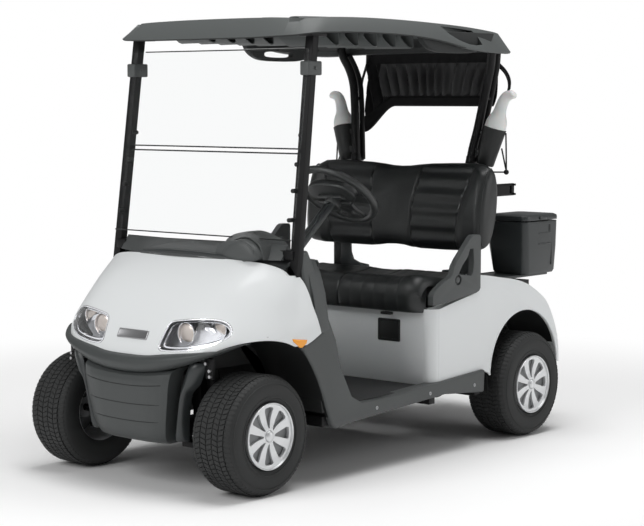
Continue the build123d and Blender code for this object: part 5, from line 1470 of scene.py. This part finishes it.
cooler = skin("cooler_tub", [rounded_loop(x0, x1, y0, y1, z) for z, x0, x1, y0, y1 in COOLER_BODY])
close_ends(merge(cooler, 0.0001))
hollow = skin("cooler_hollow", [rounded_loop(0.322, 0.498, 0.788, 1.009, z, 0.024) for z in (0.722, 0.95)])
cut(cooler, close_ends(merge(hollow, 0.0001)))
bevel(cooler, 0.006, 3, 40)
tray = block("cooler_tray", (0.290, 0.655, 0.688), (0.480, 1.001, 0.700), 0.003, 2)
hanger = block("cooler_hanger", (0.290, 0.655, 0.662), (0.320, 1.001, 0.700), 0.003, 2)
cooler = join("cooler_tub", [cooler, tray, hanger])
# two short ridges and an upright line on the tub's outer side
marks = [block("cooler_ridge", (0.5165, 0.872, z - 0.0030), (0.5215, 0.966, z + 0.0030), 0.002, 2)
         for z in (0.882, 0.834)]
marks.append(block("cooler_line", (0.5140, 0.974, 0.735), (0.5190, 0.979, 0.872), 0.002, 2))
cooler = join("cooler_tub", [cooler] + marks)
slot = block("cooler_slot", (0.5180, 0.950, 0.889), (0.5215, 0.962, 0.919), 0.001, 1)
fit(smooth(slot), "root", BLACK, "black_plastic")
smooth(cooler, 40)
fit(cooler, "root", BLACK_SATIN, "black_plastic", "cooler_box")
COOLER_LID = ((0.9405, 0.299, 0.5215, 0.7645, 1.0325), (0.952, 0.299, 0.5215, 0.7645, 1.0325),
              (0.960, 0.300, 0.520, 0.766, 1.031), (0.966, 0.310, 0.510, 0.776, 1.021))
lid = skin("cooler_lid_shell", [rounded_loop(x0, x1, y0, y1, z) for z, x0, x1, y0, y1 in COOLER_LID])
close_ends(merge(lid, 0.0001))
bevel(lid, 0.003, 3, 30)
grip = block("lid_grip", (0.520, 0.872, 0.9430), (0.5275, 0.924, 0.9575), 0.003, 2)
lid = smooth(join("cooler_lid_shell", [lid, grip]), 40)
fit(lid, "cooler_lid", BLACK_SATIN, "black_plastic", "cooler_lid")

# ------------------------------------------------------------ folded bag cover
COVER_RIGHT = -0.380
COVER_LEFT = 0.350
PLEAT_TOP = 1.645
PLEAT_PITCH = 0.060


def cover_row(z, drop_right, y, depth=0.0):
    """One level of the cover; its pleats draw together towards the foot."""
    row = []
    for i in range(241):
        k = i / 240
        x = COVER_RIGHT + (COVER_LEFT - COVER_RIGHT) * k
        gather = 1 + 1.3 * max(0.0, PLEAT_TOP - z)
        place = x * gather
        phase = 2 * math.pi * place / PLEAT_PITCH + 1.1 * math.sin(9 * place) + 0.5 * math.sin(23 * place)
        wave = depth * (0.80 * math.sin(phase) + 0.22 * math.sin(2.1 * phase + 0.7))
        sag = drop_right * ramp(-x, 0.20, 0.39)
        row.append(Vector((x, y + wave, z - sag)))
    return row


cover_rows = [cover_row(1.706, 0.0, 0.752), cover_row(1.690, 0.0, 0.756),
              cover_row(1.660, 0.0, 0.757, depth=0.001), cover_row(1.640, 0.0, 0.757, depth=0.003),
              cover_row(1.622, 0.004, 0.757, depth=0.012), cover_row(1.590, 0.02, 0.757, depth=0.019),
              cover_row(1.560, 0.04, 0.757, depth=0.020), cover_row(1.530, 0.06, 0.757, depth=0.017),
              cover_row(1.506, 0.08, 0.756, depth=0.010), cover_row(1.492, 0.09, 0.752, depth=0.002),
              cover_row(1.486, 0.095, 0.744, depth=0.0005), cover_row(1.470, 0.105, 0.742),
              cover_row(1.452, 0.120, 0.742), cover_row(1.447, 0.122, 0.748),
              cover_row(1.452, 0.118, 0.758), cover_row(1.500, 0.09, 0.780), cover_row(1.600, 0.03, 0.785),
              cover_row(1.690, 0.0, 0.775)]
columns = [flow([row[i] for row in cover_rows], 4) for i in range(241)]
cover = skin("folded_bag_cover", [[column[j] for column in columns] for j in range(len(columns[0]))])
wall(outward(cover), 0.003, 0)
smooth(cover, 60)
fit(cover, "root", CLOTH, "cover_cloth", "bag_cover")
cover.data.materials.append(CLOTH_SHADE)
BAND_FOOT = 1.640
HEM_HEAD = 1.489
FOLDED_END = -0.290
COVER_REAR = 0.772
for face in cover.data.polygons:
    # the head band, the hem, the folded end and the back take a near-black cloth that paints the shade
    # falling there
    spot = face.center
    if spot.z > BAND_FOOT or spot.z < HEM_HEAD or spot.x < FOLDED_END or spot.y > COVER_REAR:
        face.material_index = 1
BOWS = (((0.350, 0.745, 1.690), (0.372, 0.752, 1.640), (0.402, 0.770, 1.600), (0.420, 0.775, 1.560),
         (0.422, 0.770, 1.520)),
        ((0.350, 0.752, 1.690), (0.362, 0.770, 1.630), (0.388, 0.795, 1.585), (0.402, 0.798, 1.540),
         (0.400, 0.790, 1.500)))
for side, word in SIDES:
    bows = [pipe("cover_bow", [(side * x, y, z) for x, y, z in path], 0.006) for path in BOWS]
    fit(smooth(join("cover_bows_" + word, bows), 50), "root", STEEL_BLACK, "frame_black")

# ------------------------------------------------------------ running gear, chassis and the rest below
for node, material, width in (("bag_well", BLACK, 0.004), ("rear_bumper", BLACK, 0.006),
                              ("chassis_frame", STEEL_BLACK, 0.003), ("rear_springs", STEEL_BLACK, 0.0015),
                              ("front_suspension", STEEL_BLACK, 0.002), ("rear_axle", STEEL_BLACK, 0.003),
                              ("steering_rack", STEEL_BLACK, 0.002), ("tie_rods", STEEL, 0.001),
                              ("battery_pack", BATTERY, 0.008), ("knuckle_left", STEEL_BLACK, 0.002),
                              ("knuckle_right", STEEL_BLACK, 0.002), ("tail_lamps", RED, 0.003)):
    dress(node, material, width)


# ------------------------------------------------------------ floor, light and camera
WORLD_LIGHT = 0.22
# metres from the cart's middle
FADE_FROM = 1.6
FADE_TO = 4.0


def studio():
    """A matt white floor that fades into white far from the cart."""
    clear()
    bpy.ops.mesh.primitive_plane_add(size=60, location=(0, 0, 0))
    floor = named("studio_floor")
    material = bpy.data.materials.new("studio_white")
    material.use_nodes = True
    nodes = material.node_tree.nodes
    links = material.node_tree.links
    nodes.clear()
    out = nodes.new("ShaderNodeOutputMaterial")
    matt = nodes.new("ShaderNodeBsdfDiffuse")
    matt.inputs["Color"].default_value = (0.95, 0.95, 0.95, 1)
    glow = nodes.new("ShaderNodeEmission")
    glow.inputs["Color"].default_value = (1, 1, 1, 1)
    place = nodes.new("ShaderNodeTexCoord")
    far = nodes.new("ShaderNodeVectorMath")
    far.operation = "LENGTH"
    spread = nodes.new("ShaderNodeMapRange")
    spread.inputs["From Min"].default_value = FADE_FROM
    spread.inputs["From Max"].default_value = FADE_TO
    spread.interpolation_type = "SMOOTHSTEP"
    mix = nodes.new("ShaderNodeMixShader")
    links.new(place.outputs["Object"], far.inputs[0])
    links.new(far.outputs["Value"], spread.inputs["Value"])
    links.new(spread.outputs["Result"], mix.inputs["Fac"])
    links.new(matt.outputs["BSDF"], mix.inputs[1])
    links.new(glow.outputs["Emission"], mix.inputs[2])
    links.new(mix.outputs["Shader"], out.inputs["Surface"])
    floor.data.materials.append(material)


def surroundings():
    """Plain light from all round, and white where the camera looks past the floor."""
    world = bpy.data.worlds.new("studio_world")
    bpy.context.scene.world = world
    world.use_nodes = True
    nodes = world.node_tree.nodes
    links = world.node_tree.links
    nodes.clear()
    world_out = nodes.new("ShaderNodeOutputWorld")
    ray = nodes.new("ShaderNodeLightPath")
    plain = nodes.new("ShaderNodeBackground")
    plain.inputs["Color"].default_value = (1, 1, 1, 1)
    plain.inputs["Strength"].default_value = WORLD_LIGHT
    white = nodes.new("ShaderNodeBackground")
    white.inputs["Color"].default_value = (1, 1, 1, 1)
    white.inputs["Strength"].default_value = 1.0
    seen = nodes.new("ShaderNodeMath")
    seen.operation = "MAXIMUM"
    links.new(ray.outputs["Is Camera Ray"], seen.inputs[0])
    links.new(ray.outputs["Is Transmission Ray"], seen.inputs[1])
    blend = nodes.new("ShaderNodeMixShader")
    links.new(seen.outputs["Value"], blend.inputs["Fac"])
    links.new(plain.outputs["Background"], blend.inputs[1])
    links.new(white.outputs["Background"], blend.inputs[2])
    links.new(blend.outputs["Shader"], world_out.inputs["Surface"])


def lamp(name, location, target, size, power):
    light = bpy.data.lights.new(name, "AREA")
    light.shape = "SQUARE"
    light.size = size
    light.energy = power
    piece = bpy.data.objects.new(name, light)
    piece.location = location
    piece.rotation_euler = (Vector(target) - Vector(location)).to_track_quat("-Z", "Y").to_euler()
    bpy.context.scene.collection.objects.link(piece)


studio()
lamp("front_light", (-0.6, -6.4, 4.4), (0, 0, 0.8), 4.0, 200)
lamp("top_light", (0.6, 0.4, 6.2), (0, 0, 0.5), 4.0, 285)
lamp("side_light", (6.0, 4.0, 3.0), (0, 0.2, 0.9), 4.0, 85)

surroundings()

FOCAL_LENGTH = 101.7
CAMERA_PLACE = (5.031, -5.896, 1.479)
CAMERA_YAW = -40.51
CAMERA_PITCH = -5.16
lens = bpy.data.cameras.new("camera")
lens.lens = FOCAL_LENGTH
lens.clip_end = 100
camera = bpy.data.objects.new("camera", lens)
bpy.context.scene.collection.objects.link(camera)
camera.location = CAMERA_PLACE
camera.rotation_euler = (math.radians(90 + CAMERA_PITCH), 0, math.radians(-CAMERA_YAW))
bpy.context.scene.camera = camera
bpy.context.scene.view_settings.view_transform = "Standard"
